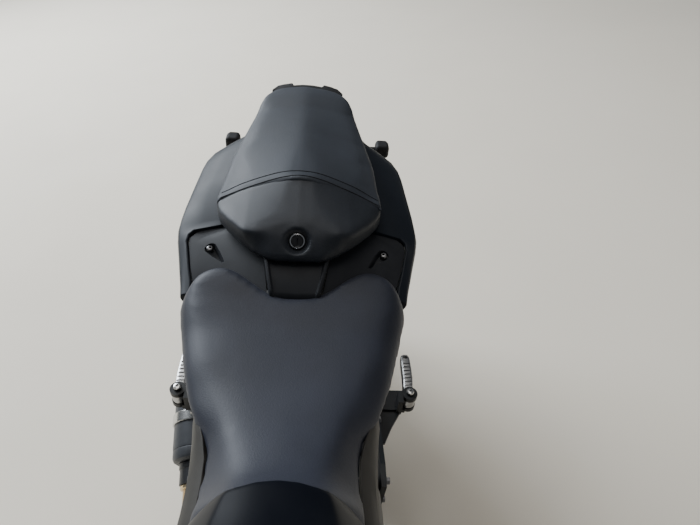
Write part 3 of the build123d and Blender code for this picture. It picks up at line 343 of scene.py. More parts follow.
def settle(bm, place=Matrix()):
    """A mesh in metres in the row frame from a bmesh drawn in millimetres in a local frame."""
    bmesh.ops.remove_doubles(bm, verts=bm.verts, dist=0.005)
    bmesh.ops.recalc_face_normals(bm, faces=bm.faces)
    mesh = bpy.data.meshes.new("piece")
    bm.to_mesh(mesh)
    bm.free()
    mesh.transform(place @ Matrix.Scale(MM, 4))
    return mesh


def linked(name, mesh):
    """A new object in the scene."""
    mesh.name = name
    piece = bpy.data.objects.new(name, mesh)
    bpy.context.scene.collection.objects.link(piece)
    return piece


def round_edges(piece, width, from_angle=30):
    """Round a piece's edges that are sharper than an angle."""
    edge = piece.modifiers.new("Edge rounding", "BEVEL")
    edge.width = width * MM
    edge.segments = 2
    edge.limit_method = "ANGLE"
    edge.angle_limit = math.radians(from_angle)


def subdivide(piece, times):
    """Smooth a piece by subdivision."""
    soft = piece.modifiers.new("Rounding", "SUBSURF")
    soft.levels = times
    soft.render_levels = times


def finish_piece(piece, label, stands_for=(), body="chassis", sharp=38.0):
    """Shade, clothe and seat a piece: it rides on a body and may stand for CAD nodes."""
    mesh = piece.data
    mesh.materials.clear()
    mesh.materials.append(finish(label))
    mesh.polygons.foreach_set("use_smooth", [True] * len(mesh.polygons))
    mesh.set_sharp_from_angle(angle=math.radians(sharp))
    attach(piece, body)
    if stands_for:
        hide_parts(*stands_for)
    return piece


def make(name, bm, slot, label, stands_for=(), body="chassis", place=BIKE, bevel=0.0, rounds=0, sharp=38.0):
    """A whole piece from a bmesh, with an optional bevel or subdivision to finish its edges."""
    piece = linked(name, settle(bm, place))
    if bevel:
        round_edges(piece, bevel)
    if rounds:
        subdivide(piece, rounds)
    return finish_piece(piece, label, stands_for, body, sharp)


def drawn(shape, *values):
    """A new bmesh with one shape drawn in it."""
    bm = bmesh.new()
    shape(bm, *values)
    return bm


def evaluated(piece):
    """A plain mesh of a piece with its modifiers applied."""
    return bpy.data.meshes.new_from_object(piece.evaluated_get(bpy.context.evaluated_depsgraph_get()))


def applied(piece):
    """Make a piece's modifiers part of its mesh."""
    old, mesh = piece.data, evaluated(piece)
    piece.modifiers.clear()
    piece.data = mesh
    bpy.data.meshes.remove(old)
    return mesh


def carved(piece, *cutters):
    """Cut bmeshes, drawn in the bike frame's millimetres, out of a piece."""
    for bm in cutters:
        tool = linked("cutter", settle(bm, BIKE))
        cut = piece.modifiers.new("Cut", "BOOLEAN")
        cut.operation = "DIFFERENCE"
        cut.solver = "EXACT"
        cut.object = tool
        applied(piece)
        bpy.data.objects.remove(tool)
    return piece


def soften(bm, times):
    """Draw each point towards its neighbours, a number of times."""
    for _ in range(times):
        bmesh.ops.smooth_vert(bm, verts=bm.verts, factor=0.5, use_axis_x=True, use_axis_y=True,
                              use_axis_z=True)


class Surface:
    """A finished piece's top, asked for its height in the bike frame's millimetres."""

    def __init__(self, piece):
        bm = bmesh.new()
        bm.from_mesh(piece.data)
        bm.transform(Matrix.Scale(1 / MM, 4) @ BIKE.inverted())
        self.tree = BVHTree.FromBMesh(bm)
        bm.free()

    def height(self, x, y, otherwise):
        """How high the piece reaches at a place, or the other height where it isn't."""
        hit = self.tree.ray_cast(Vector((x, y, 2000)), Vector((0, 0, -1)))[0]
        return otherwise if hit is None else hit.z


def plump(piece, voxel, most, floor_z, softenings, evenings=12):
    """Swell a closed pad with cloth pressure, evenly and no point further than most; its base is pinned."""
    remesh = piece.modifiers.new("Even mesh", "REMESH")
    remesh.mode = "VOXEL"
    remesh.voxel_size = voxel * MM
    even = applied(piece)
    up = BIKE.to_3x3() @ Vector(UP)
    base = BIKE.translation.dot(up) + floor_z * MM
    group = piece.vertex_groups.new(name="base")
    group.add([v.index for v in even.vertices if v.co.dot(up) < base], 1.0, "REPLACE")
    start = [v.co.copy() for v in even.vertices]
    cloth = piece.modifiers.new("Fill", "CLOTH")
    cloth.settings.quality = 4
    cloth.settings.use_pressure = True
    cloth.settings.uniform_pressure_force = 4.0
    cloth.settings.effector_weights.gravity = 0
    cloth.settings.vertex_group_mass = "base"
    cloth.collision_settings.use_collision = False
    cloth.point_cache.frame_start = 1
    cloth.point_cache.frame_end = CLOTH_FRAMES
    for step in range(1, CLOTH_FRAMES + 1):
        bpy.context.scene.frame_set(step)
    swollen = applied(piece)
    piece.vertex_groups.clear()
    moves = bmesh.new()
    moves.from_mesh(swollen)
    for v, home in zip(moves.verts, start):
        move = v.co - home
        v.co = move.normalized() * min(move.length, most * MM)
    soften(moves, evenings)
    for v, home in zip(moves.verts, start):
        v.co += home
    moves.to_mesh(swollen)
    moves.free()
    bpy.context.scene.frame_set(1)
    bm = bmesh.new()
    bm.from_mesh(piece.data)
    soften(bm, softenings)
    bm.to_mesh(piece.data)
    bm.free()


# Geometry Nodes trees for what repeats


def wire(tree, *links):
    """Join a tree's nodes; each link is a node, its output, another node and its input."""
    for source, out, target, into in links:
        tree.links.new(source.outputs[out], target.inputs[into])


def new_tree(name, inputs):
    """A geometry tree with a Geometry input, the named inputs and a Geometry output."""
    tree = bpy.data.node_groups.new(name, "GeometryNodeTree")
    tree.interface.new_socket("Geometry", in_out="INPUT", socket_type="NodeSocketGeometry")
    for label, kind, default in inputs:
        socket = tree.interface.new_socket(label, in_out="INPUT", socket_type=f"NodeSocket{kind}")
        if default is not None:
            socket.default_value = default
    tree.interface.new_socket("Geometry", in_out="OUTPUT", socket_type="NodeSocketGeometry")
    start = tree.nodes.new("NodeGroupInput")
    source = tree.nodes.new("GeometryNodeObjectInfo")
    place = tree.nodes.new("GeometryNodeInstanceOnPoints")
    realize = tree.nodes.new("GeometryNodeRealizeInstances")
    clothe = tree.nodes.new("GeometryNodeSetMaterial")
    wire(tree, (start, "Piece", source, "Object"), (source, "Geometry", place, "Instance"),
         (place, "Instances", realize, "Geometry"), (realize, "Geometry", clothe, "Geometry"),
         (start, "Material", clothe, "Material"),
         (clothe, "Geometry", tree.nodes.new("NodeGroupOutput"), "Geometry"))
    return tree, start, place


def turn_node(tree, first, second):
    """A node that makes a rotation from two axes."""
    turn = tree.nodes.new("FunctionNodeAxesToRotation")
    turn.primary_axis = first
    turn.secondary_axis = second
    return turn


def path_tree(name="Pieces along a path"):
    """Copies of one small piece along a curve, at a spacing, their X along the curve."""
    if name in bpy.data.node_groups:
        return bpy.data.node_groups[name]
    tree, start, place = new_tree(name, [
        ("Piece", "Object", None), ("Spacing", "Float", 0.01), ("Size", "Float", 1.0),
        ("Size Variation", "Float", 0.0), ("Seed", "Int", 4), ("Material", "Material", None)])
    points = tree.nodes.new("GeometryNodeResampleCurve")
    points.mode = "LENGTH"
    tangent = tree.nodes.new("GeometryNodeInputTangent")
    normal = tree.nodes.new("GeometryNodeInputNormal")
    along = turn_node(tree, "X", "Z")
    vary = tree.nodes.new("FunctionNodeRandomValue")
    low = tree.nodes.new("ShaderNodeMath")
    low.operation = "SUBTRACT"
    size_out = next(i for i, s in enumerate(vary.outputs) if s.type == "VALUE" and s.enabled)
    wire(tree, (start, "Geometry", points, "Curve"), (start, "Spacing", points, "Length"),
         (points, "Curve", place, "Points"), (tangent, "Tangent", along, "Primary Axis"),
         (normal, "Normal", along, "Secondary Axis"), (along, "Rotation", place, "Rotation"),
         (start, "Size", low, 0), (start, "Size Variation", low, 1), (low, 0, vary, "Min"),
         (start, "Size", vary, "Max"), (start, "Seed", vary, "Seed"), (vary, size_out, place, "Scale"))
    return tree


def mark_tree(name="Pieces at marks"):
    """Copies of one small piece at marks, turned by the marks' facing and along attributes."""
    if name in bpy.data.node_groups:
        return bpy.data.node_groups[name]
    tree, start, place = new_tree(name, [("Piece", "Object", None), ("Size", "Float", 1.0),
                                         ("Material", "Material", None)])
    turn = turn_node(tree, "Z", "X")
    for label, axis in (("facing", "Primary Axis"), ("along", "Secondary Axis")):
        read = tree.nodes.new("GeometryNodeInputNamedAttribute")
        read.data_type = "FLOAT_VECTOR"
        read.inputs["Name"].default_value = label
        wire(tree, (read, "Attribute", turn, axis))
    wire(tree, (start, "Geometry", place, "Points"), (turn, "Rotation", place, "Rotation"),
         (start, "Size", place, "Scale"))
    return tree


def grown(source, tree, unit, values):
    """The mesh that a tree makes of a source object, a small piece and other inputs."""
    helper = linked("unit", unit)
    modifier = source.modifiers.new(tree.name, "NODES")
    modifier.node_group = tree
    values = {"Piece": helper, "Size": 1.0, **values}
    for item in tree.interface.items_tree:
        if item.item_type == "SOCKET" and item.in_out == "INPUT" and item.name in values:
            modifier[item.identifier] = values[item.name]
    mesh = evaluated(source)
    bpy.data.objects.remove(source)
    bpy.data.objects.remove(helper)
    return mesh


def along_paths(name, paths, unit, spacing, variation, label):
    """One piece of small copies spaced along paths of points in millimetres."""
    curve = bpy.data.curves.new("path", "CURVE")
    curve.dimensions = "3D"
    for path in paths:
        spline = curve.splines.new("POLY")
        spline.points.add(len(path) - 1)
        for point, where in zip(spline.points, path):
            point.co = (*(BIKE @ (Vector(where) * MM)), 1)
    mesh = grown(linked("path", curve), path_tree(), unit, {
        "Spacing": spacing * MM, "Size Variation": variation, "Seed": 4, "Material": finish(label)})
    return finish_piece(linked(name, mesh), label)


def at_marks(name, marks, unit, label="bright_steel", slot="bright_steel", stands_for=(), body="chassis",
             place=BIKE):
    """One piece of small copies at marks: a point in millimetres, its facing and, if not ahead, its along."""
    turn = place.to_3x3()
    marks = [(p, facing, *(rest or [AHEAD])) for p, facing, *rest in marks]
    mesh = bpy.data.meshes.new("marks")
    mesh.from_pydata([place @ (Vector(p) * MM) for p, _, _ in marks], [], [])
    for column, key in enumerate(("facing", "along"), 1):
        layer = mesh.attributes.new(key, "FLOAT_VECTOR", "POINT")
        for item, mark in zip(layer.data, marks):
            item.vector = turn @ Vector(mark[column])
    made = grown(linked("marks", mesh), mark_tree(), unit, {"Material": finish(label)})
    return finish_piece(linked(name, made), label, stands_for, body)


def ring_marks(count, radius, centre, side, start=0.0):
    """Marks round a circle that faces a side: left 1 or right -1."""
    x, y, z = centre
    return [((x + u, y, z + v), (0, side, 0)) for u, v in circle(count, radius, start)]


def socket_screw(radius, height):
    """A button-head screw with a six-sided socket."""
    key = radius * 0.42 * math.cos(math.pi / 6)
    sixths = [(2 * math.pi * i / 24) % (math.pi / 3) - math.pi / 6 for i in range(24)]
    hexagon = [(x * key / math.cos(a), y * key / math.cos(a)) for (x, y), a in zip(circle(24), sixths)]
    rows = [[(x, y, h) for x, y in circle(24, r)] for r, h in (
        (radius, 0.0), (radius, height * 0.35), (radius * 0.86, height * 0.8), (radius * 0.56, height))]
    rows += [[(x, y, h) for x, y in hexagon] for h in (height, height * 0.3)]
    return settle(drawn(loft, rows))


def flange_bolt(radius, height):
    """A six-sided bolt head on a round flange."""
    bm = drawn(turned, [(0, 0), (radius * 1.3, 0), (radius * 1.3, height * 0.18),
                        (radius * 0.98, height * 0.3),
                        (0, height * 0.3)], (0, 0, 0), UP, 24)
    loft(bm, [[(x, y, h) for x, y in circle(6, r)] for r, h in (
        (radius, height * 0.2), (radius, height * 0.88), (radius * 0.86, height))])
    return settle(bm)


def thread_stitch(length=4.6, radius=0.42):
    """One stitch of thread, sunk at both ends."""
    rows = []
    for k in range(7):
        bulge = math.sin(math.pi * k / 6)
        rows.append([(length * (k / 6 - 0.5), y, 0.34 * bulge - 0.12 + z)
                     for y, z in circle(6, radius * (0.55 + 0.45 * bulge))])
    return settle(drawn(loft, rows))


# Finishes


def shaded(colour, times, plus=0.0):
    """A colour made darker or lighter."""
    return tuple(min(c * times + plus, 1) for c in colour)


def seat_vinyl(n, colour, grain, roughness, dim=1.0):
    """Soft matte seat vinyl with fine pebbled grain and a slow change of sheen."""
    colour = shaded(colour, dim)
    light = shaded(colour, 1.22, 0.002)
    broad = n.noise(9.0)
    tone = n.mix(n.ramp(broad, (0.3, 0.0), (0.7, 1.0)), shaded(colour, 0.8), light)
    tone = n.mix(n.ramp(n.noise(420.0, 2.0), (0.35, 0.0), (0.65, 0.35)), tone, light)
    pebbles = n.bump(n.cells(grain), 0.00016, 0.55)
    n.finish(Base_Color=tone, Roughness=n.ramp(broad, (0.25, roughness - 0.04), (0.75, roughness + 0.05)),
             Normal=n.bump(n.cells(grain * 0.42), 0.00022, 0.35, pebbles), Sheen_Weight=0.02,
             Sheen_Roughness=0.5, Specular_IOR_Level=0.3)


def painted(n, colour, roughness, flake=0.0, coat=0.0, shine=0.3):
    """Sprayed paint with slight orange peel, a little flake and faint handling marks."""
    dust = n.noise(14.0, 4.0, 0.6)
    tone = n.mix(n.ramp(dust, (0.35, 0.0), (0.72, 0.45)), colour, shaded(colour, 1.25, 0.004))
    if flake:
        tone = n.mix(n.ramp(n.cells(2600.0), (0.0, flake), (0.22, 0.0)), tone, shaded(colour, 2.4, 0.03))
    n.finish(Base_Color=tone, Roughness=n.ramp(dust, (0.3, roughness - 0.03), (0.75, roughness + 0.07)),
             Normal=n.bump(n.noise(260.0, 2.0), 0.00006, 0.4), Coat_Weight=coat, Coat_Roughness=0.22,
             Specular_IOR_Level=shine)


def moulded_plastic(n, colour, grain=700.0, roughness=0.55, depth=0.0002):
    """Grained moulded plastic, a little paler where it is rubbed."""
    clouds = n.noise(22.0, 4.0, 0.6)
    tone = n.mix(n.ramp(clouds, (0.42, 0.0), (0.78, 0.6)), colour, shaded(colour, 1.5, 0.006))
    stipple = n.bump(n.cells(grain), depth, 0.5)
    n.finish(Base_Color=tone, Roughness=n.ramp(clouds, (0.3, roughness), (0.7, min(roughness + 0.1, 1.0))),
             Normal=n.bump(n.noise(grain * 0.8, 2.0), depth * 0.5, 0.4, stipple), Specular_IOR_Level=0.2)


def worked_metal(n, colour, roughness, scale=340.0, stain=0.25, stretch=(1, 1, 1), pit=0.00003):
    """Bare or plated metal: drawn marks along the stretched axis, dulled in slow patches."""
    lines = n.noise(scale, 5.0, 0.6, n.place(stretch))
    patch = n.ramp(n.noise(18.0, 4.0, 0.55), (0.4, 0.0), (0.75, 1.0))
    n.finish(Base_Color=n.mix(patch, colour, shaded(colour, 1 - stain)), Normal=n.bump(lines, pit, 0.5),
             Roughness=n.ramp(lines, (0.3, max(roughness - 0.07, 0.04)), (0.7, roughness + 0.09)),
             Metallic=1.0)


def cast_metal(n, colour, roughness, grain, metallic):
    """Sand-cast or powder-coated metal with a fine rough skin and darker slow patches."""
    skin = n.noise(grain, 4.0, 0.65)
    patch = n.ramp(n.noise(16.0, 4.0, 0.6), (0.38, 0.0), (0.7, 1.0))
    grit = n.bump(n.cells(grain * 1.4), 0.0001, 0.35, n.bump(skin, 0.00018, 0.5))
    n.finish(Base_Color=n.mix(patch, colour, shaded(colour, 0.7)), Normal=grit, Metallic=metallic,
             Roughness=n.ramp(skin, (0.3, roughness - 0.05), (0.7, roughness + 0.1)))


def tyre_rubber(n, colour):
    """Tyre rubber with a greyish bloom, dust in patches and a fine moulded skin."""
    bloom = n.noise(11.0, 5.0, 0.6)
    tone = n.mix(n.ramp(bloom, (0.35, 0.0), (0.75, 0.7)), colour, shaded(colour, 1.9, 0.012))
    n.finish(Base_Color=tone, Roughness=n.ramp(bloom, (0.3, 0.62), (0.7, 0.82)),
             Normal=n.bump(n.noise(600.0), 0.00012, 0.5), Specular_IOR_Level=0.3)


def heated_steel(n):
    """Stainless pipe, straw and bronze where it has been hot, with drawn marks."""
    marks = n.noise(240.0, 4.0, where=n.place((1, 6, 6)))
    heat = ((0.28, (0.62, 0.5, 0.33)), (0.5, (0.52, 0.36, 0.18)), (0.72, (0.45, 0.31, 0.24)))
    n.finish(Base_Color=n.ramp(n.noise(7.0), *heat), Roughness=n.ramp(marks, (0.3, 0.2), (0.7, 0.36)),
             Normal=n.bump(marks, 0.00003, 0.5), Metallic=1.0)


def clear_lens(n, colour, roughness, through):
    """A clear or tinted lamp cover with faint moulded flutes."""
    dust = n.noise(30.0, 4.0)
    tone = n.mix(n.ramp(dust, (0.4, 0.0), (0.9, 0.2)), colour, shaded(colour, 0.8))
    n.finish(Base_Color=tone, Roughness=n.ramp(dust, (0.4, roughness), (0.8, roughness + 0.08)),
             Normal=n.bump(n.noise(60.0, 2.0), 0.00008, 0.4), IOR=1.49, Transmission_Weight=through)


def glossy_screen(n, colour):
    """A dark display or mirror cover, glossy with faint dust."""
    dust = n.noise(70.0, 5.0, 0.6)
    n.finish(Base_Color=n.mix(n.ramp(dust, (0.5, 0.0), (0.8, 0.35)), colour, (0.03, 0.031, 0.033)),
             Roughness=n.ramp(dust, (0.4, 0.05), (0.8, 0.2)), Coat_Weight=0.6, Coat_Roughness=0.04)


def mottled_floor(n, colour):
    """A plain pale studio floor with the faintest mottling."""
    mottle = n.noise(2.2)
    n.finish(Base_Color=n.mix(n.ramp(mottle, (0.35, 0.0), (0.7, 1.0)), colour, shaded(colour, 0.975)),
             Roughness=n.ramp(mottle, (0.3, 0.82), (0.7, 0.9)))


# Each finish: its maker, its colour or the setting that holds it, and the maker's numbers in its own order
RECIPES = {
    "rider_vinyl": (seat_vinyl, "rider_vinyl", 1150.0, 0.5),
    "pillion_vinyl": (seat_vinyl, "pillion_vinyl", 900.0, 0.54),
    "pillion_front": (seat_vinyl, "pillion_vinyl", 1500.0, 0.46, 0.72),
    "tank_paint": (painted, "tank", 0.34, 0.03, 0.0, 0.06),
    "panel_paint": (painted, "panels", 0.44, 0.08, 0.0, 0.16),
    "frame_paint": (painted, (0.016, 0.017, 0.018), 0.34),
    "plain_plate": (painted, (0.62, 0.62, 0.6), 0.4),
    "spring_steel": (painted, (0.035, 0.036, 0.04), 0.3, 0.0, 0.4),
    "wheel_metal": (painted, (0.02, 0.021, 0.023), 0.34, 0.06, 0.2),
    "panel_dark": (moulded_plastic, (0.018, 0.0195, 0.0235), 900.0, 0.52, 0.00012),
    "cover_plastic": (moulded_plastic, (0.035, 0.033, 0.030), 800.0, 0.46, 0.00012),
    "black_plastic": (moulded_plastic, (0.016, 0.016, 0.017)),
    "thread": (moulded_plastic, (0.03, 0.031, 0.034), 2200.0, 0.7, 0.0001),
    "seam_shadow": (moulded_plastic, (0.003, 0.003, 0.004), 2200.0, 0.9, 0.0001),
    "dull_steel": (worked_metal, (0.2, 0.2, 0.205), 0.34, 500.0),
    "chain_steel": (worked_metal, (0.42, 0.38, 0.3), 0.36, 600.0, 0.5),
    "bright_steel": (worked_metal, (0.66, 0.66, 0.65), 0.24, 340.0, 0.25, (1, 8, 8)),
    "chrome_trim": (worked_metal, (0.75, 0.75, 0.76), 0.12, 800.0, 0.12),
    "disc_steel": (worked_metal, (0.5, 0.5, 0.5), 0.26, 500.0, 0.2),
    "fork_metal": (worked_metal, (0.5, 0.49, 0.47), 0.2, 340.0, 0.25, (6, 6, 1)),
    "peg_metal": (worked_metal, (0.5, 0.5, 0.5), 0.34, 500.0, 0.35),
    "mirror_silver": (worked_metal, (0.82, 0.84, 0.86), 0.04, 60.0, 0.04, (1, 1, 1), 0.0),
    "gold_ring": (worked_metal, (0.72, 0.58, 0.36), 0.25, 500.0),
    "swingarm_metal": (cast_metal, (0.06, 0.062, 0.066), 0.42, 380.0, 0.7),
    "engine_metal": (cast_metal, (0.055, 0.056, 0.06), 0.5, 480.0, 0.75),
    "cover_metal": (cast_metal, (0.09, 0.088, 0.086), 0.4, 640.0, 0.8),
    "muffler_black": (cast_metal, (0.085, 0.09, 0.1), 0.42, 700.0, 0.45),
    "caliper_metal": (cast_metal, (0.05, 0.052, 0.055), 0.36, 700.0, 0.6),
    "clamp_metal": (cast_metal, (0.045, 0.046, 0.05), 0.36, 600.0, 0.7),
    "tyre_rubber": (tyre_rubber, (0.018, 0.018, 0.019)),
    "grip_rubber": (tyre_rubber, (0.014, 0.014, 0.015)),
    "exhaust_steel": (heated_steel,),
    "red_lens": (clear_lens, (0.42, 0.012, 0.01), 0.1, 0.55),
    "smoked_lens": (clear_lens, (0.03, 0.022, 0.018), 0.12, 0.25),
    "lamp_glass": (clear_lens, (0.86, 0.88, 0.9), 0.03, 0.95),
    "screen_glass": (glossy_screen, (0.006, 0.007, 0.009)),
    "pale_floor": (mottled_floor, "floor"),
}
FINISHES = {}


def finish(label):
    """The finish of that label, made the first time it is asked for."""
    if label not in FINISHES:
        maker, *values = RECIPES[label]
        if values and isinstance(values[0], str):
            values[0] = getattr(bpy.context.scene.roadster_colours, values[0])
        n = Nodes(label)
        maker(n, *values)
        FINISHES[label] = n.material
    return FINISHES[label]


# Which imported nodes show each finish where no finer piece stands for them
NODE_FINISHES = {node: label for label, nodes in {
    "frame_paint": "frame subframe peg_bracket_left peg_bracket_right side_stand",
    "swingarm_metal": "swingarm",
    "chain_steel": "drive_chain rear_sprocket",
    "engine_metal": "crankcase cylinders",
    "cover_metal": "cam_cover engine_covers",
    "exhaust_steel": "exhaust_pipes",
    "muffler_black": "muffler",
    "bright_steel": "muffler_clamp plate_screws rear_axle front_axle passenger_peg_left passenger_peg_right",
    "tank_paint": "fuel_tank",
    "chrome_trim": "filler_ring seat_lock",
    "clamp_metal": "filler_cap rider_pegs pedals triple_clamps handlebar",
    "rider_vinyl": "rider_seat",
    "pillion_vinyl": "pillion_seat",
    "panel_dark": "bridge_plate inner_plates",
    "panel_paint": "tail_panel_left tail_panel_right front_mudguard",
    "black_plastic": "tail_end undertray rear_mudguard rear_signals bar_controls mirrors headlamp display",
    "red_lens": "tail_lamp",
    "cover_plastic": "side_cover_left side_cover_right",
    "plain_plate": "blank_plate",
    "caliper_metal": "rear_caliper front_calipers",
    "spring_steel": "rear_shock",
    "wheel_metal": "rear_rim front_rim",
    "tyre_rubber": "rear_tyre front_tyre",
    "disc_steel": "rear_disc front_discs",
    "fork_metal": "fork_legs",
    "grip_rubber": "grips",
    "lamp_glass": "headlamp_lens",
}.items() for node in nodes.split()}


# Settings a user would change


class RoadsterColours(bpy.types.PropertyGroup):
    """The bike's main colours, as linear colour values."""

    rider_vinyl: bpy.props.FloatVectorProperty(
        name="Rider Seat", description="Colour of the rider seat's vinyl", subtype="COLOR", min=0, max=1,
        default=(0.022, 0.025, 0.037))
    pillion_vinyl: bpy.props.FloatVectorProperty(
        name="Pillion Seat", description="Colour of the pillion seat's vinyl", subtype="COLOR", min=0,
        max=1,
        default=(0.027, 0.032, 0.042))
    panels: bpy.props.FloatVectorProperty(
        name="Tail Panels", description="Colour of the tail panels' paint", subtype="COLOR", min=0, max=1,
        default=(0.012, 0.0155, 0.022))
    tank: bpy.props.FloatVectorProperty(
        name="Tank", description="Colour of the tank's paint", subtype="COLOR", min=0, max=1,
        default=(0.004, 0.005, 0.008))
    floor: bpy.props.FloatVectorProperty(
        name="Floor", description="Colour of the studio floor", subtype="COLOR", min=0, max=1,
        default=(0.88, 0.81, 0.69))


class RoadsterSizes(bpy.types.PropertyGroup):
    """Sizes of the fine pieces, in metres."""

    stitch_spacing: bpy.props.FloatProperty(
        name="Stitch Spacing", description="Distance from one stitch to the next", unit="LENGTH",
        default=0.0056)
    hem_radius: bpy.props.FloatProperty(
        name="Hem Radius", description="Radius of the pillion cover's rolled hem", unit="LENGTH",
        default=0.0021)
    seat_swell: bpy.props.FloatProperty(
        name="Seat Swell", description="Most that the foam may push the covers out", unit="LENGTH",
        default=0.0025)
    tread_depth: bpy.props.FloatProperty(
        name="Tread Depth", description="Depth of the tyres' grooves", unit="LENGTH", default=0.0045)
    chain_pitch: bpy.props.FloatProperty(
        name="Chain Pitch", description="Distance between the chain's rollers", unit="LENGTH",
        default=0.015875)
    spring_turns: bpy.props.IntProperty(
        name="Spring Turns", description="Turns of the rear spring", default=8, min=4, max=14)


class RoadsterStudio(bpy.types.PropertyGroup):
    """The lamps over the bike."""

    key_power: bpy.props.FloatProperty(
        name="Key Power", description="Power of the large soft lamp at the bike's right", unit="POWER",
        default=810.0)
    fill_power: bpy.props.FloatProperty(
        name="Overhead Power", description="Power of the high lamp over the tail", unit="POWER",
        default=80.0)
    low_power: bpy.props.FloatProperty(
        name="Low Power", description="Power of the weak low lamp at the bike's left", unit="POWER",
        default=8.0)
    sky: bpy.props.FloatProperty(
        name="Sky", description="Strength of the even light from all round", default=0.12)


def sizes():
    """The scene's size settings."""
    return bpy.context.scene.roadster_sizes


# The rider seat, in the bike frame's millimetres

SEAT_FRONT = [(0, -20.5), (20, -19.5), (38, -15), (46, -12), (62, -7), (76, -3), (90, -2)]
SEAT_REAR = [(0, -307), (16, -308), (32, -312), (50, -324), (71, -341), (88, -352), (100, -355.5),
             (114, -354), (130, -346), (144, -332), (152, -318), (155, -302)]
SEAT_HALF = [(-400, 155), (-300, 155), (-283, 152), (-240, 141), (-204, 131.5), (-170, 121.5),
             (-140, 110.5), (-130, 105), (-115, 95.5), (-100, 89), (-80, 85.5), (-45, 84.5), (0, 84)]
SEAT_CENTRE_Z = [(-360, 842), (-335, 839), (-296, 829), (-240, 822), (-180, 822), (-120, 828), (-80, 837),
                 (-50, 850), (-32, 864), (-20, 880)]
# Half the width of the top, out to its soft crest, and how far the flank falls from the crest to the edge
SEAT_FLAT_HALF = [(-360, 138), (-300, 136), (-240, 118), (-207, 110), (-165, 89), (-120, 67), (-85, 56),
                  (-50, 45), (-20, 40)]
SEAT_FALL = [(-360, 18), (-300, 17), (-240, 18), (-200, 18), (-150, 24), (-90, 36), (-40, 48), (-15, 58)]


def seat_height(x, y):
    """The rider seat's top at a place, before its edge is rounded."""
    half = follow(SEAT_HALF, x)
    flat = follow(SEAT_FLAT_HALF, x)
    soft = (half - flat) * 0.42
    past = (math.hypot(abs(y) - flat, soft) + abs(y) - flat) / 2
    cup = -follow([(-360, 2.5), (-150, 2.5), (-60, 0)], x) * (1 - min(abs(y) / flat, 1.0) ** 2)
    return follow(SEAT_CENTRE_Z, x) + cup - follow(SEAT_FALL, x) * past / (half - flat)


def edge_distance(points, loop):
    """How far each of the points lies from a closed loop in plan."""
    segments = list(zip(loop, loop[1:] + loop[:1]))
    out = []
    for x, y in points:
        best = 1e9
        for (x0, y0), (x1, y1) in segments:
            dx, dy = x1 - x0, y1 - y0
            size = dx * dx + dy * dy
            t = 0.0 if size == 0 else min(1.0, max(0.0, ((x - x0) * dx + (y - y0) * dy) / size))
            best = min(best, (x - x0 - dx * t) ** 2 + (y - y0 - dy * t) ** 2)
        out.append(math.sqrt(best))
    return out


def rim(net):
    """The outer loop of a net of points or vertices."""
    return net[0] + [row[-1] for row in net[1:]] + net[-1][-2::-1] + [row[0] for row in net[-2:0:-1]]


def pad_mesh(front, rear, half, height, base_z, edge_radius, across=72, along=84, skirt=0.0):
    """A closed pad: x runs from front(|y|) to rear(|y|), its top is height(x, y), its edges rounded by x."""
    rows = []
    for i in range(along + 1):
        s = i / along
        row = []
        for j in range(across + 1):
            t = math.sin(math.pi / 2 * (2 * j / across - 1))
            x = straight(front, abs(t) * front[-1][0]) * (1 - s) + straight(rear, abs(t) * rear[-1][0]) * s
            row.append((x, t * half(x)))
        rows.append(row)
    drops = iter(edge_distance([p for row in rows for p in row], rim(rows)[::2]))
    top = []
    for row in rows:
        line = []
        for x, y in row:
            edge_r = edge_radius(x)
            d = min(next(drops), edge_r)
            fall = edge_r - math.sqrt(max(edge_r * edge_r - (edge_r - d) ** 2, 0.0))
            line.append((x, y, height(x, y) - fall))
        top.append(line)
    bm = bmesh.new()
    verts = grid(bm, top)
    under = [[bm.verts.new((v.co.x, v.co.y * (1 + skirt), min(base_z(v.co.x), v.co.z - 4))) for v in row]
             for row in verts]
    for i in range(along):
        for j in range(across):
            bm.faces.new((under[i][j], under[i + 1][j], under[i + 1][j + 1], under[i][j + 1]))
    join_rings(bm, rim(verts), rim(under))
    return bm


class ROADSTER_OT_rider_seat(bpy.types.Operator):
    """Make the rider seat as a filled vinyl pad that sweeps up to the tank"""

    bl_idname = "roadster.rider_seat"
    bl_label = "Rider Seat"

    def execute(self, context):
        bm = pad_mesh(SEAT_FRONT, SEAT_REAR, lambda x: follow(SEAT_HALF, x), seat_height,
                      lambda x: straight([(-360, 797), (-250, 785), (-130, 789), (-20, 806)], x),
                      lambda x: straight([(-340, 15.0), (-280, 10.0), (-100, 9.0), (-40, 6.0)], x),
                      skirt=0.015)
        piece = linked("rider_cushion", settle(bm, BIKE))
        plump(piece, 4.5, sizes().seat_swell / MM, 806.0, 8, evenings=60)
        subdivide(piece, 1)
        finish_piece(piece, "rider_vinyl", ("rider_seat",), sharp=180)
        return {"FINISHED"}


# The pillion seat

PILLION_SIDE = [(-768, 56), (-760, 62), (-748, 72), (-735, 80), (-715, 87), (-672, 95), (-617, 107),
                (-557, 118), (-500, 121), (-471, 123.5), (-447, 123.5), (-430, 121), (-415, 112),
                (-397, 103), (-381, 88), (-367, 71), (-353, 52), (-346, 40)]
SEAM = [(0, -461.5, 918), (20, -461.5, 914.5), (43, -461, 908), (72, -457.5, 899), (99, -453, 889),
        (123, -446, 880)]
CREASE = [(0, -385, 892), (20, -384, 891), (40, -377, 887), (57, -371, 883), (75, -375, 880),
          (92, -386, 877), (108, -402, 874), (123, -427, 871)]
LIP = [(0, -344, 860), (36, -345, 860), (47, -351, 860), (60, -360, 860), (82, -380, 861), (103, -404, 862),
       (118, -425, 864), (124, -446, 866)]
# How far the moulded front lies below the cover's edge at the hem, and the stitch rows' places behind it
HEM_STEP = 4.0
HEM_STITCHES = (6.0, 19.0)


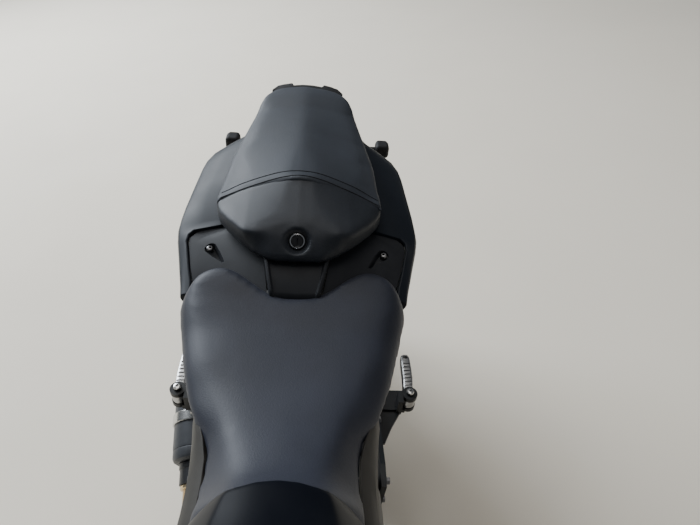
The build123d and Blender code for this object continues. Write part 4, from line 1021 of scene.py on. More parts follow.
def on_curve(curve, y):
    """The (x, z) of a seat line at |y|."""
    y = abs(y)
    return straight([(a, b) for a, b, _ in curve], y), straight([(a, c) for a, _, c in curve], y)


def pillion_front_height(x, y):
    """The top of the pillion seat's moulded front, ahead of the hem."""
    (xs, zs), (xc, zc), (xl, zl) = on_curve(SEAM, y), on_curve(CREASE, y), on_curve(LIP, y)
    blend = 3.0
    upper = zs - HEM_STEP + (zc - zs + HEM_STEP) * max(x - xs, 0.0) / max(xc - xs, 1.0)
    lower = zc + (zl - zc) * (x - xc) / max(xl - xc, 6.0)
    return (upper + lower - math.hypot(upper - lower, blend)) / 2 + blend / 2


def pillion_top_height(x, y):
    """The top of the pillion cover behind the hem: two planes that meet in a soft ridge."""
    ridge = 9.0
    slope = straight([(-760, 0.1), (-700, 0.15), (-600, 0.22), (-461, 0.335)], x)
    centre = straight([(-760, 927), (-735, 926), (-690, 920), (-600, 917), (-461, 919)], x)
    return centre + ridge * slope - slope * math.sqrt(y * y + ridge * ridge)


class ROADSTER_OT_pillion_seat(bpy.types.Operator):
    """Make the pillion seat: moulded front, stretched cover, rolled hem and two rows of stitches"""

    bl_idname = "roadster.pillion_seat"
    bl_label = "Pillion Seat"

    def execute(self, context):
        swell = sizes().seat_swell / MM
        lip = [(a, b) for a, b, _ in LIP[:-1]] + [(124, -440)]
        seam = [(a, b) for a, b, _ in SEAM]
        bm = pad_mesh(lip, [(a, b - 26) for a, b in seam],
                      lambda x: straight([(-500, 118), (-471, 122.5), (-425, 122.5), (-344, 122.5)], x),
                      pillion_front_height, lambda x: 853.0, lambda x: 4.0, 80, 60)
        front = linked("pillion_front", settle(bm, BIKE))
        carved(front, drawn(turned, LOCK_DISH, LOCK_CENTRE, LOCK_FACING, 64))
        plump(front, 2.6, swell * 0.3, 858.0, 2)
        finish_piece(front, "pillion_front", sharp=180)
        rear = [(0, -768), (80, -768), (104, -766), (116, -762), (122, -757), (124, -752)]
        bm = pad_mesh([(a, b + 1.5) for a, b in seam], rear, side_limit, pillion_top_height,
                      lambda x: straight([(-762, 890), (-600, 876), (-470, 869), (-440, 867)], x),
                      lambda x: straight([(-740, 6.0), (-700, 8.0), (-480, 8.0), (-462, 3.0)], x), 80, 90)
        cover = linked("pillion_cover", settle(bm, BIKE))
        plump(cover, 3.2, swell, 880.0, 3)
        finish_piece(cover, "pillion_vinyl", ("pillion_seat",), sharp=180)
        self.hem_and_thread(cover)
        return {"FINISHED"}

    def hem_and_thread(self, cover):
        """The rolled hem at the cover's front edge and the stitches behind it, laid on the swollen cover."""
        surface = Surface(cover)

        def line(back, lift, reach):
            """A line across the cover, a distance behind the hem."""
            half = []
            for a, b, _ in SEAM:
                x = b + 1.5 - back
                half.append((x, a * reach * (side_limit(x) - 2) / 123))
            across = smooth_line([(x, -y) for x, y in reversed(half)] + half[1:], 121)
            return [(x, y, surface.height(x, y, pillion_top_height(x, y)) + lift) for x, y in across]

        radius = sizes().hem_radius / MM
        make("pillion_hem", drawn(tube, line(1.6, -radius * 1.15, 1.0), radius, 10), "seat_vinyl",
             "pillion_vinyl")
        # Near-black tubes just proud of the cover along both stitch rows: painted shadow in the seam grooves
        bm = bmesh.new()
        for back in HEM_STITCHES:
            tube(bm, line(back, -0.15, 0.965), 0.8, 8)
        make("pillion_seams", bm, "seat_vinyl", "seam_shadow")
        rows = [line(back, 0.3, 0.965) for back in HEM_STITCHES]
        along_paths("pillion_stitches", rows, thread_stitch(), sizes().stitch_spacing / MM, 0.12,
                    "thread")


def side_limit(x):
    """The pillion seat's half width at x."""
    return straight(PILLION_SIDE, x)


LOCK_CENTRE = Vector((-363.5, 0, 876.5))
LOCK_FACING = Vector((37, 0, 34)).normalized()
# The round dish for the lock in the pillion seat's front, as (radius, height) points
LOCK_DISH = [(0, -9), (12.96, -9), (16.92, -4), (21, 8), (27, 30), (0, 30)]


class ROADSTER_OT_seat_lock(bpy.types.Operator):
    """Make the seat lock's bezel, plug and key slot in their dish"""

    bl_idname = "roadster.seat_lock"
    bl_label = "Seat Lock"

    def execute(self, context):
        floor = LOCK_CENTRE - LOCK_FACING * 9
        seat = [(14.5, 0), (14.5, 1.2), (12.4, 2.2), (11.6, 1.4), (11.6, 0)]
        make("lock_seat_ring", drawn(lathe, seat, floor, LOCK_FACING, 64), "black_plastic", "black_plastic")
        bezel = [(9.2, 0.4), (10.8, 1.2), (11.2, 3.4), (10.4, 5.0), (9.0, 5.4), (8.3, 4.4), (8.3, 0.4)]
        make("lock_bezel", drawn(lathe, bezel, floor, LOCK_FACING, 64), "chrome_trim", "chrome_trim",
             ("seat_lock",))
        side = Vector(LEFT)
        up = LOCK_FACING.cross(side)
        slot = [(max(-1.0, min(1.0, 3.2 * u)), max(-4.2, min(4.2, 4.6 * v))) for u, v in circle(48)]
        levels = ((circle(48, 8.0), 0.2), (circle(48, 8.0), 3.4), (circle(48, 7.2), 4.2), (slot, 4.2),
                  (slot, 1.4))
        rows = [[floor + side * u + up * v + LOCK_FACING * height for u, v in ring]
                for ring, height in levels]
        make("lock_plug", drawn(loft, rows), "clamp_metal", "clamp_metal")
        return {"FINISHED"}


# The tail: each row of a side panel is its outer edge, shoulder, crown and inner edge at one x

PANEL_ROWS = [
    # x, outer y, outer z, shoulder y, shoulder z, inner y, inner z
    (-324, 161, 796, 158, 803, 147, 806),
    (-345, 165, 799, 161, 807, 150, 811),
    (-366, 170, 803, 165, 812, 156, 817),
    (-392, 176, 807, 170, 818, 162, 824),
    (-412, 181, 810, 174, 822, 167, 829),
    (-424, 184, 812, 176, 825, 165.5, 832),
    (-431, 185, 813.5, 176, 827.5, 158, 835),
    (-436, 186, 814.5, 176, 829, 110, 845),
    (-446, 187.5, 816, 176, 832, 113, 847),
    (-462, 187, 819, 176, 836, 118, 849),
    (-487, 185, 823, 174, 841, 122, 853),
    (-533, 181, 829, 168, 847, 119, 862),
    (-584, 177, 834, 162, 852, 112, 871),
    (-606, 173, 836, 158, 855, 107, 875),
    (-629, 163, 839, 149, 858, 102, 878),
    (-645, 144, 843, 134, 862, 98, 881),
    (-656, 125, 849, 117, 866, 94, 883),
    (-675, 105, 857, 101, 870, 88, 886),
    (-700, 92, 865, 90, 877, 82, 890),
    (-740, 79, 877, 78, 886, 71, 897),
    (-757, 74, 883, 73, 890, 66, 899),
]


def panel_rows(sign):
    """A side panel's rings: a folded skin with a skirt below, a flat band on top and a closed inside."""
    rows = []
    for x, yo, zo, ys, zs, yi, zi in PANEL_ROWS:
        skirt = straight([(-757, 10), (-640, 26), (-480, 58), (-400, 52), (-324, 22)], x)
        tuck = straight([(-757, 4), (-480, 20), (-324, 10)], x)
        edge = max(yi - 2.5, 20)
        rows.append([(x, sign * y, z) for y, z in (
            (yo - tuck, zo - skirt), (yo - 1, zo - 4), (yo, zo), ((yo * 2 + ys) / 3, (zo + zs * 2) / 3),
            (ys, zs),
            (ys - (ys - yi) * 0.5, zs + (zi - zs) * 0.56), (yi, zi), (edge, zi - 2), (edge, zi - 7),
            (ys - 8, zs - 9), (yo - 9, zo - 6), (yo - tuck - 5, zo - skirt + 2))])
    return rows


class ROADSTER_OT_tail_panels(bpy.types.Operator):
    """Make the folded side panels of the tail, left and right"""

    bl_idname = "roadster.tail_panels"
    bl_label = "Tail Panels"

    def execute(self, context):
        for side, sign in SIDES:
            make(f"tail_skin_{side}", drawn(loft, panel_rows(sign)), "panel_paint", "panel_paint",
                 (f"tail_panel_{side}",), bevel=1.2, sharp=28)
        return {"FINISHED"}


# The plates in the wells ahead of the panels: (x, y, z) round the left one from its inner front corner

WELL_RIM = [(-330, 139, 806), (-347, 147, 811), (-366, 153, 816), (-392, 159, 822), (-410, 163.5, 826),
            (-420, 162, 829), (-430, 154, 831), (-434, 145, 833), (-434, 110, 840)]
WELL_FLOOR = [(-327, 124, 805), (-345, 135, 812), (-366, 141, 819), (-390, 146.5, 825), (-404, 150, 828),
              (-411, 148, 830), (-417, 143, 831), (-421, 138, 832), (-427, 110, 840)]
PLATE_INNER = [(-302, 37, 818), (-317, 39, 825), (-334, 42, 832), (-351, 45, 839), (-368, 47, 843),
               (-386, 56, 846), (-404, 70, 847), (-418, 84, 847), (-436, 98, 847)]
PLATE_UP = Vector((0.12, -0.16, 1)).normalized()
BOLT_AT = Vector((-394, 128.0, 832))
SLOT_TIP = Vector((-368, 106, 827))


def plate_rows():
    """The left inner plate's rings: an outer wall down to its well's floor, which runs to the bridge."""
    rows = []
    for r, f, n in zip(WELL_RIM, WELL_FLOOR, PLATE_INNER):
        r, f, n = Vector(r), Vector(f), Vector(n)
        under = Vector((0, 0, 9))
        rows.append([r - under, r - under / 6, r.lerp(f, 0.06), r.lerp(f, 0.94), f, f.lerp(n, 0.04),
                     f.lerp(n, 0.35), f.lerp(n, 0.7), n, n - under, f - under])
    return rows


def slot_rows():
    """Rings of the tapered recess round the bolt, which points inwards and forwards."""
    along = (SLOT_TIP - BOLT_AT).normalized()
    across = PLATE_UP.cross(along).normalized()
    reach = (SLOT_TIP - BOLT_AT).length
    outline = circle(24, 8.5, math.pi / 2)[:13]
    outline += [(reach * 0.45, -6.0), (reach, -1.4), (reach, 1.4), (reach * 0.45, 6.0)]
    return [[BOLT_AT + along * (u * draw) + across * (v * draw) + PLATE_UP * height for u, v in outline]
            for height, draw in ((-7, 0.8), (-4, 0.92), (12, 1.25))]


class ROADSTER_OT_inner_plates(bpy.types.Operator):
    """Make the plates either side of the bridge, with their slots and screws, and the bridge itself"""

    bl_idname = "roadster.inner_plates"
    bl_label = "Inner Plates"

    def execute(self, context):
        piece = linked("well_plates", settle(drawn(loft, plate_rows()), BIKE))
        carved(piece, drawn(loft, slot_rows()))
        other = piece.data.copy()
        other.transform(BIKE @ Matrix.Diagonal((1, -1, 1, 1)) @ BIKE.inverted())
        other.flip_normals()
        bm = bmesh.new()
        bm.from_mesh(piece.data)
        bm.from_mesh(other)
        bm.to_mesh(piece.data)
        bm.free()
        round_edges(piece, 0.7, 32)
        finish_piece(piece, "panel_dark", ("inner_plates",), sharp=30)
        marks = []
        for sign in (1, -1):
            facing, at = (Vector((v.x, v.y * sign, v.z)) for v in (PLATE_UP, BOLT_AT))
            marks.append((at - facing * 4, facing))
        at_marks("well_screws", marks, socket_screw(5.2, 4.4), "dull_steel", stands_for=("plate_screws",))
        self.bridge()
        return {"FINISHED"}

    def bridge(self):
        """The dark bridge between the seats, with a raised rib at each side and a shallow tray between."""
        rows = []
        for x, z, half in ((-301, 821, 27), (-305.5, 830.5, 28), (-309, 833.5, 29), (-330, 843, 34),
                           (-352, 852.5, 38.5), (-357, 853.5, 39.5), (-358, 846, 39.5)):
            side = [(half * 0.5, -3.4), (half, -2.6), (half + 2.2, 1.2), (half + 5.8, 0.2), (half + 7, -4),
                    (half + 5, -12)]
            section = [(-y, dz) for y, dz in reversed(side[:-1])] + [(0, -3.8)] + side + [(-half - 5, -12)]
            rows.append([(x, y, z + dz) for y, dz in section])
        make("bridge_trim", drawn(loft, rows), "black_plastic", "panel_dark", ("bridge_plate",), bevel=0.8,
             sharp=26)


# How far out the frame's tubes may reach under the covers, by height, and the part of the frame this is for
WAIST_HALF = [(400, 170), (455, 150), (500, 145), (550, 140), (572, 136), (615, 129), (665, 122),
              (712, 116), (760, 110)]
WAIST_X = (-235.0, 60.0)
# The frame's own half width, and the width outside the limit's root that all beyond it is pressed into
FULL_HALF = 160
SQUASHED = 16


def waist_half(x, z):
    """The frame's half width at a place, with a soft run-in at each end of the waist."""
    away = max(WAIST_X[0] - x, x - WAIST_X[1], 0.0)
    return follow(WAIST_HALF, z) + away * 0.6 + max(z - 770, 0.0) * 0.6


class ROADSTER_OT_frame_waist(bpy.types.Operator):
    """Stand in for the frame's spars and the subframe, with their tubes flattened at the rider's knees"""

    bl_idname = "roadster.frame_waist"
    bl_label = "Frame Waist"

    def execute(self, context):
        for node, name in (("frame", "frame_spars"), ("subframe", "seat_rails")):
            bm = bmesh.new()
            bm.from_mesh(frame["nodes"][node].data)
            bmesh.ops.remove_doubles(bm, verts=bm.verts, dist=0.00002)
            bm.transform(Matrix.Scale(1 / MM, 4) @ BIKE.inverted())
            for facing, marks in ((Vector(AHEAD), range(-280, 110, 26)), (Vector(UP), range(400, 800, 24))):
                for mark in marks:
                    bmesh.ops.bisect_plane(bm, geom=bm.verts[:] + bm.edges[:] + bm.faces[:], dist=0.001,
                                           plane_co=facing * mark, plane_no=facing)
            for v in bm.verts:
                half = waist_half(v.co.x, v.co.z)
                root, reach = half - SQUASHED, abs(v.co.y)
                if reach > root and half < FULL_HALF:
                    squashed = root + (reach - root) * SQUASHED / (FULL_HALF - root)
                    v.co.y = math.copysign(squashed, v.co.y)
            finish_piece(linked(name, settle(bm, BIKE)), "frame_paint", (node,))
        return {"FINISHED"}


class ROADSTER_OT_tail_end(bpy.types.Operator):
    """Make the closing piece behind the pillion seat and the tail lamp's lens"""

    bl_idname = "roadster.tail_end"
    bl_label = "Tail End"

    def execute(self, context):
        outline = [(10, -793), (27, -794), (31, -803), (46, -800), (57, -792), (63, -782), (66, -771),
                   (67, -764)]
        front = -763.0
        rows = []
        for y, x in [(-a, b) for a, b in reversed(outline)] + outline:
            lift = 2.0 if 28 < abs(y) < 60 else 0.0
            rows.append([
                (front, y, 925 + lift * 0.4 - abs(y) * 0.16),
                ((front + x) / 2, y, 926 + lift - abs(y) * 0.14),
                (x + 3, y, 919 + lift - abs(y) * 0.12), (x, y, 913), (x + 3, y * 0.96, 886),
                (x + 10, y * 0.92, 876), (front, y * 0.92, 874)])
        make("tail_closing", drawn(loft, rows), "black_plastic", "black_plastic", ("tail_end",), bevel=1.5,
             sharp=34)
        rows = []
        for k in range(25):
            y = -44 + 88 * k / 24
            bulge = 8 * (1 - (y / 48) ** 2)
            flute = 0.8 if k % 2 else 0.0
            rows.append([(x, y, z) for x, z in (
                (-770, 864), (-790 - bulge * 0.7 - flute, 865), (-796 - bulge - flute, 857),
                (-794 - bulge - flute, 846), (-786 - bulge * 0.6, 841), (-770, 841))])
        make("tail_lens", drawn(loft, rows), "red_lens", "red_lens", ("tail_lamp",), bevel=0.6)
        return {"FINISHED"}


COVER_ROWS = [
    # x, seam y, seam z, outer y, outer z, belly y, belly z, foot y, foot z
    (-149, 104, 793, 109, 786, 115, 734, 119, 668),
    (-130, 98, 798, 106, 786, 113, 728, 119, 650),
    (-110, 90.5, 801, 103, 785, 112.5, 722, 121, 632),
    (-85, 84, 801, 101, 784, 112, 716, 122, 618),
    (-60, 82.5, 801, 100.5, 783, 112, 712, 123, 612),
    (-35, 83, 801, 101, 782, 113, 710, 124, 614),
    (-10, 85, 800, 103, 780, 116, 710, 126, 618),
    (19, 91, 794, 107, 776, 121, 710, 128, 624),
]


class ROADSTER_OT_side_covers(bpy.types.Operator):
    """Make the covers under the seat's nose, with their chamfered top edge"""

    bl_idname = "roadster.side_covers"
    bl_label = "Side Covers"

    def execute(self, context):
        for side, sign in SIDES:
            rows = []
            for x, ys, zs, yo, zo, yb, zb, yf, zf in COVER_ROWS:
                rows.append([(x, sign * y, z) for y, z in (
                    (ys, zs), ((ys + yo) / 2 + 1, (zs + zo) / 2 + 1.5), (yo, zo),
                    ((yo + yb) / 2 + 1.5, (zo + zb) / 2), (yb, zb), (yb + 1.5, (zb + zf) / 2), (yf, zf),
                    (yf - 6, zf + 1), (yb - 7, zb), (yo - 8, zo - 6), (ys - 2, zs - 4))])
            make(f"side_skin_{side}", drawn(loft, rows), "panel_paint", "cover_plastic",
                 (f"side_cover_{side}",),
                 bevel=1.0, sharp=24)
        return {"FINISHED"}


# The tank: each row is one section from the middle of its top to the bottom of its flank

TANK_CREASE_FROM = 0.35
TANK_ROWS = [
    # x, top z, edge y, edge z, waist y, waist z, belly y, belly z, foot y, foot z
    (-19, 887, 41, 883, 52, 866, 58, 850, 56, 822),
    (-11, 890, 45, 885, 66, 856, 76, 836, 74, 814),
    (10, 898, 51, 889, 83, 848, 95, 826, 92, 806),
    (40, 912, 57, 900, 101, 846, 114, 822, 106, 802),
    (90, 941, 65, 924, 121, 858, 132, 832, 116, 800),
    (140, 968, 74, 946, 140, 876, 150, 846, 124, 798),
    (190, 990, 80, 962, 151, 890, 160, 854, 132, 796),
    (235, 994, 82, 968, 152, 900, 160, 862, 134, 798),
    (270, 984, 78, 960, 142, 900, 150, 866, 128, 806),
    (296, 962, 66, 944, 118, 892, 126, 868, 112, 826),
]


class ROADSTER_OT_tank(bpy.types.Operator):
    """Make the tank's pressed skin"""

    bl_idname = "roadster.tank"
    bl_label = "Fuel Tank"

    def execute(self, context):
        rows = []
        for x, zt, ye, ze, yw, zw, yb, zb, yf, zf in TANK_ROWS:
            bow = 8.0 if x < -15 else 4.0 if x < 0 else 0.0
            half = [(x - bow, 0, zt), (x - bow * 0.8, ye * 0.5, zt - (zt - ze) * 0.22),
                    (x, ye - 2.5, ze + 0.2), (x, ye + 2.5, ze - 2.6), (x, (ye + yw) / 2 + 1, (ze + zw) / 2),
                    (x, yw, zw), (x, yb, zb), (x, yf, zf), (x, yf * 0.5, zf)]
            rows.append(half + [(a, -b, c) for a, b, c in reversed(half[1:])])
        bm = drawn(loft, rows)
        crease = bm.edges.layers.float.new("crease_edge")
        for edge in bm.edges:
            if edge.calc_face_angle(0) > TANK_CREASE_FROM:
                edge[crease] = 0.7
        make("tank_skin", bm, "body_paint", "tank_paint", ("fuel_tank",), rounds=3, sharp=180)
        return {"FINISHED"}


# The tyres, drawn about the axle in their own frame: X forward, Y along the axle

TREAD_PITCHES = 30
# Where the tread's mesh lines lie across it, in mm from the middle, and along it, in pitches
TREAD_ACROSS = [0, 5, 10, 10.8, 18, 26, 34, 34.8, 42, 50, 58, 66, 66.8, 74, 82, 90]
TREAD_ALONG = [0.0, 0.16, 0.32, 0.34, 0.405, 0.425, 0.6, 0.78, 0.8, 0.865, 0.885]


def tyre_rows(radius, width, rim_width, rim_r=214.0, flange_r=226.0):
    """A tyre's sections round the axle, along its slanted grooves, so that their walls are crisp."""
    depth = sizes().tread_depth / MM
    shoulder = radius - width * 0.42
    half = width / 2
    bead = rim_width / 2
    crown_drop = radius - shoulder
    crown_r = (half * half + crown_drop * crown_drop) / (2 * crown_drop)
    sweep = math.asin(min(half / crown_r, 1.0))
    if crown_drop > crown_r:
        sweep = math.pi - sweep
    span = crown_r * sweep
    marks = [m for m in TREAD_ACROSS if m < span - 3] + [span - 1.5]
    profile = []
    for v in [-m for m in reversed(marks)] + marks[1:]:
        a = v / crown_r
        profile.append((radius - crown_r + crown_r * math.cos(a), crown_r * math.sin(a), abs(v)))
    side_r = flange_r + (shoulder - flange_r) * 0.5
    wall = [(shoulder - 3, profile[-1][1] - 0.2), (side_r + 6, half - 0.8), (side_r + 4.6, half - 1.8),
            (side_r, half - 1.6), (side_r - 1.4, half - 0.6), (side_r - 10, half - 4),
            (flange_r + 6, bead + 0.5), (flange_r + 1, bead - 3), (rim_r - 5, bead - 9)]
    ring = [(r, -y, None) for r, y in reversed(wall)] + profile + [(r, y, None) for r, y in wall]
    rows = []
    for i in range(TREAD_PITCHES):
        for k, where in enumerate(TREAD_ALONG):
            row = []
            for r, y, v in ring:
                drop = 0.0
                if v is not None and k in (3, 4) and 10.4 < v < 66.4:
                    drop = depth
                if v is not None and k in (8, 9) and 34.4 < v:
                    drop = depth * 0.9
                v = span if v is None else v
                a = 2 * math.pi * (i + where + 0.011 * v - 0.00002 * v * v) / TREAD_PITCHES
                row.append((math.cos(a) * (r - drop), y, math.sin(a) * (r - drop)))
            rows.append(row)
    return rows


def wheel_place(name):
    """The place of a wheel's own frame: its axle at the origin, Y along the axle, in the row frame."""
    if name == "front":
        return FORK @ Matrix.Translation(FORK_AXLE)
    return BIKE @ Matrix.Translation(REAR_AXLE)


class ROADSTER_OT_tyres(bpy.types.Operator):
    """Make both tyres with their grooves and raised side ribs"""

    bl_idname = "roadster.tyres"
    bl_label = "Tyres"

    def execute(self, context):
        for name, radius, width, rim_width in (("front", 300.0, 120.0, 92.0),
                                               ("rear", 314.8, 168.0, 138.0)):
            bm = drawn(grid, tyre_rows(radius, width, rim_width), True, True)
            make(f"{name}_tread", bm, "tyre_rubber", "tyre_rubber", (f"{name}_tyre",), f"{name}_wheel",
                 wheel_place(name), sharp=32)
        return {"FINISHED"}


def drilled_band(bm, inner, outer, y, thick, holes_round, rows_of_holes, hole_r):
    """A flat ring drilled right through in staggered rows, made of one cell for each hole."""
    cell = 2 * math.pi / holes_round
    depth = (outer - inner) / rows_of_holes
    corners = 16
    for ring in range(rows_of_holes):
        r0 = inner + depth * ring
        mid_r = r0 + depth / 2
        for k in range(holes_round):
            a0 = cell * (k + 0.5 * (ring % 2))
            edge, bore = [], []
            for c in range(corners):
                side, f = divmod(c / corners * 4, 1)
                u, v = ((f, 0.0), (1.0, f), (1 - f, 1.0), (0.0, 1 - f))[int(side)]
                edge.append((a0 + cell * u, r0 + depth * v))
                phi = math.atan2(v - 0.5, u - 0.5)
                bore.append((a0 + cell / 2 + hole_r * math.cos(phi) / mid_r,
                             mid_r + hole_r * math.sin(phi)))
            rims, holes = [], []
            for face in (-1, 1):
                for line, rings in ((edge, rims), (bore, holes)):
                    rings.append([bm.verts.new((r * math.cos(a), y + face * thick / 2, r * math.sin(a)))
                                  for a, r in line])
                join_rings(bm, rims[-1], holes[-1])
            join_rings(bm, *holes)
            if ring == 0:
                join_rings(bm, *rims, range(corners // 4))
            if ring == rows_of_holes - 1:
                join_rings(bm, *rims, range(corners // 2, corners * 3 // 4))


def disc_carrier(bm, hub_r, reach, y, thick, arms=5):
    """The dark carrier inside a brake disc: a hub ring with curved arms."""
    outer = []
    for u, v in circle(120):
        wave = max(0.0, math.cos(arms * (math.atan2(v, u) - math.radians(36)))) ** 3
        r = hub_r + 14 + (reach - hub_r - 14) * wave
        outer.append((r * u, r * v))
    inner = circle(120, hub_r + 0.4)
    rows = [[(x, y + side * thick / 2, z) for x, z in line]
            for side, line in ((-1, outer), (1, outer), (1, inner), (-1, inner))]
    grid(bm, rows, round_u=True, round_v=True)


class ROADSTER_OT_brake_discs(bpy.types.Operator):
    """Make the drilled brake discs and their carriers"""

    bl_idname = "roadster.brake_discs"
    bl_label = "Brake Discs"

    def execute(self, context):
        for wheel, node, radius, sides in (("front", "front_discs", 155.0, (-68.0, 68.0)),
                                           ("rear", "rear_disc", 120.0, (-96.0,))):
            on_wheel = {"body": f"{wheel}_wheel", "place": wheel_place(wheel)}
            band, carrier = bmesh.new(), bmesh.new()
            marks = []
            for y in sides:
                drilled_band(band, radius - 34, radius, y, 4.6, 40, 3, 3.0)
                disc_carrier(carrier, 34.0, radius - 31, y, 4.0)
                out = 1 if y > 0 else -1
                marks += ring_marks(5, 48, (0, y + out * 1.8, 0), out)
            make(f"{wheel}_disc_bands", band, "disc_steel", "disc_steel", (node,), sharp=30, **on_wheel)
            make(f"{wheel}_disc_carriers", carrier, "clamp_metal", "clamp_metal", bevel=0.6, sharp=30,
                 **on_wheel)
            at_marks(f"{wheel}_disc_bolts", marks, socket_screw(5.5, 4.0), **on_wheel)
        return {"FINISHED"}


# The chain's run, about both sprockets in the bike frame

REAR_CENTRE = (-715.0, 315.0)
FRONT_CENTRE = (-105.0, 400.0)
REAR_TEETH = 43
FRONT_TEETH = 16
CHAIN_LINE_Y = 101.0


def chain_stations():
    """Every roller's place and its direction out of the chain's loop."""
    pitch = sizes().chain_pitch / MM
    r1, r0 = (pitch / 2 / math.sin(math.pi / teeth) for teeth in (REAR_TEETH, FRONT_TEETH))
    (x1, z1), (x0, z0) = REAR_CENTRE, FRONT_CENTRE
    gap = math.hypot(x0 - x1, z0 - z1)
    base = math.atan2(z0 - z1, x0 - x1)
    lift = math.asin((r1 - r0) / gap)
    run = gap * math.cos(lift)
    up, down = base + math.pi / 2 - lift, base - math.pi / 2 + lift
    front_arc, rear_arc = r0 * (math.pi - 2 * lift), r1 * (math.pi + 2 * lift)
    total = 2 * run + front_arc + rear_arc
    links = round(total / pitch / 2) * 2
    out = []
    for i in range(links):
        t = total * i / links
        if t < run:
            a, centre, r, far = up, (x1, z1), r1, t
        elif t < run + front_arc:
            a, centre, r, far = up - (t - run) / r0, (x0, z0), r0, 0.0
        elif t < 2 * run + front_arc:
            a, centre, r, far = down, (x0, z0), r0, t - run - front_arc
        else:
            a, centre, r, far = down - (t - 2 * run - front_arc) / r1, (x1, z1), r1, 0.0
        x = centre[0] + r * math.cos(a) + far * math.sin(a)
        z = centre[1] + r * math.sin(a) - far * math.cos(a)
        out.append((Vector((x, CHAIN_LINE_Y, z)), Vector((math.cos(a), 0, math.sin(a)))))
    return out


def chain_link(half_width, plate_t=1.6, waist=4.4):
    """One chain link from its roller forward to the next: two waisted plates and a pin."""
    pitch = sizes().chain_pitch / MM
    outline = []
    for end, turn in ((0.0, math.pi / 2), (pitch, -math.pi / 2)):
        outline += [(end + u, v) for u, v in circle(16, 6.6, turn)[:9]]
        outline.append((pitch / 2, -waist if end == 0.0 else waist))
    bm = bmesh.new()
    for sign in (-1, 1):
        plate(bm, outline, (0, sign * half_width - plate_t / 2, 0), AHEAD, UP, -plate_t)
    pin = half_width + 2.2
    turned(bm, [(0, -pin), (2.4, -pin), (2.4, pin), (0, pin)], (0, 0, 0), LEFT, 10)
    return settle(bm)


class ROADSTER_OT_chain(bpy.types.Operator):
    """Make the drive chain link by link round its two sprockets"""

    bl_idname = "roadster.chain"
    bl_label = "Drive Chain"

    def execute(self, context):
        stations = chain_stations()
        marks = []
        for (p, out), (q, _) in zip(stations, stations[1:] + stations[:1]):
            ahead = (q - p).normalized()
            facing = Vector((-ahead.z, 0, ahead.x))
            marks.append((p, facing if facing.dot(out) > 0 else -facing, ahead))
        at_marks("chain_outer_links", marks[::2], chain_link(6.6), "chain_steel", "chain_steel",
                 ("drive_chain",))
        at_marks("chain_inner_links", marks[1::2], chain_link(4.6), "chain_steel", "chain_steel")
        return {"FINISHED"}


class ROADSTER_OT_shock(bpy.types.Operator):
    """Make the rear spring, its cups and the damper inside it"""

    bl_idname = "roadster.shock"
    bl_label = "Rear Shock"

    def execute(self, context):
        centre = Vector((-240, 0, 575))
        along = Vector((0.32, 0, 1)).normalized()
        side = along.orthogonal().normalized()
        other = along.cross(side)
        turns = sizes().spring_turns
        steps = turns * 28
        coil = []
        for i in range(steps + 1):
            t = i / steps
            a = 2 * math.pi * turns * t
            rise = (t - 0.5) * 138 * (0.94 + 0.06 * min(min(t, 1 - t) * turns, 1.0))
            coil.append(centre + (side * math.cos(a) + other * math.sin(a)) * 23.5 + along * rise)
        make("shock_spring", drawn(tube, coil, 5.2, 12), "spring_steel", "spring_steel", ("rear_shock",))
        bm = drawn(turned, [(0, -60), (15, -60), (15, 40), (8, 42), (8, 72), (0, 72)], centre, along, 32)
        cup = [(0, 0), (29, 0), (29, 3), (26, 9), (17, 9), (0, 9)]
        rod = [(0, 0), (10, 0), (10, 40), (0, 40)]
        for sign in (-1, 1):
            for profile, away, steps in ((cup, 71, 40), (rod, 76, 24)):
                ends = profile if sign > 0 else [(r, -s) for r, s in reversed(profile)]
                turned(bm, ends, centre + along * (sign * away), along, steps)
            eye = [(0, -14), (13, -14), (13, 14), (0, 14)]
            turned(bm, eye, centre + along * (sign * 118), LEFT, 28)
        make("shock_body", bm, "fork_metal", "clamp_metal", sharp=30)
        return {"FINISHED"}


# The pillion's folding pegs and their brackets

PEG_AT = Vector((-391, 223, 460))
# The web that braces the left bracket ahead of its pivot, in plan from the pivot round to the frame
GUSSET = [(-423, 190), (-423, 232), (-414, 239), (-396, 238), (-388, 228), (-376, 210), (-340, 188),
          (-306, 172), (-306, 158), (-350, 158), (-400, 168)]
GUSSET_HOLE = (-383, 182)


def peg_rows(sign):
    """The rings of one folded peg: a waisted bar from its eye to a rounded tip."""
    rows = []
    for x, half_y, half_z, bow in ((-401, 7, 8, 0), (-404, 9, 9, 0), (-414, 10.5, 9.5, 1),
                                   (-440, 10.8, 9.8, 3),
                                   (-470, 10.8, 9.8, 3), (-488, 10.2, 9.2, 3), (-496, 8, 7.4, 3),
                                   (-499, 4.5, 4.5, 3)):
        row = []
        for c, s in circle(24):
            reach = 1 / (abs(c) ** 4 + abs(s) ** 4) ** 0.25
            row.append((x, sign * (PEG_AT.y + bow + half_y * c * reach), PEG_AT.z + half_z * s * reach))
        rows.append(row)
    return rows


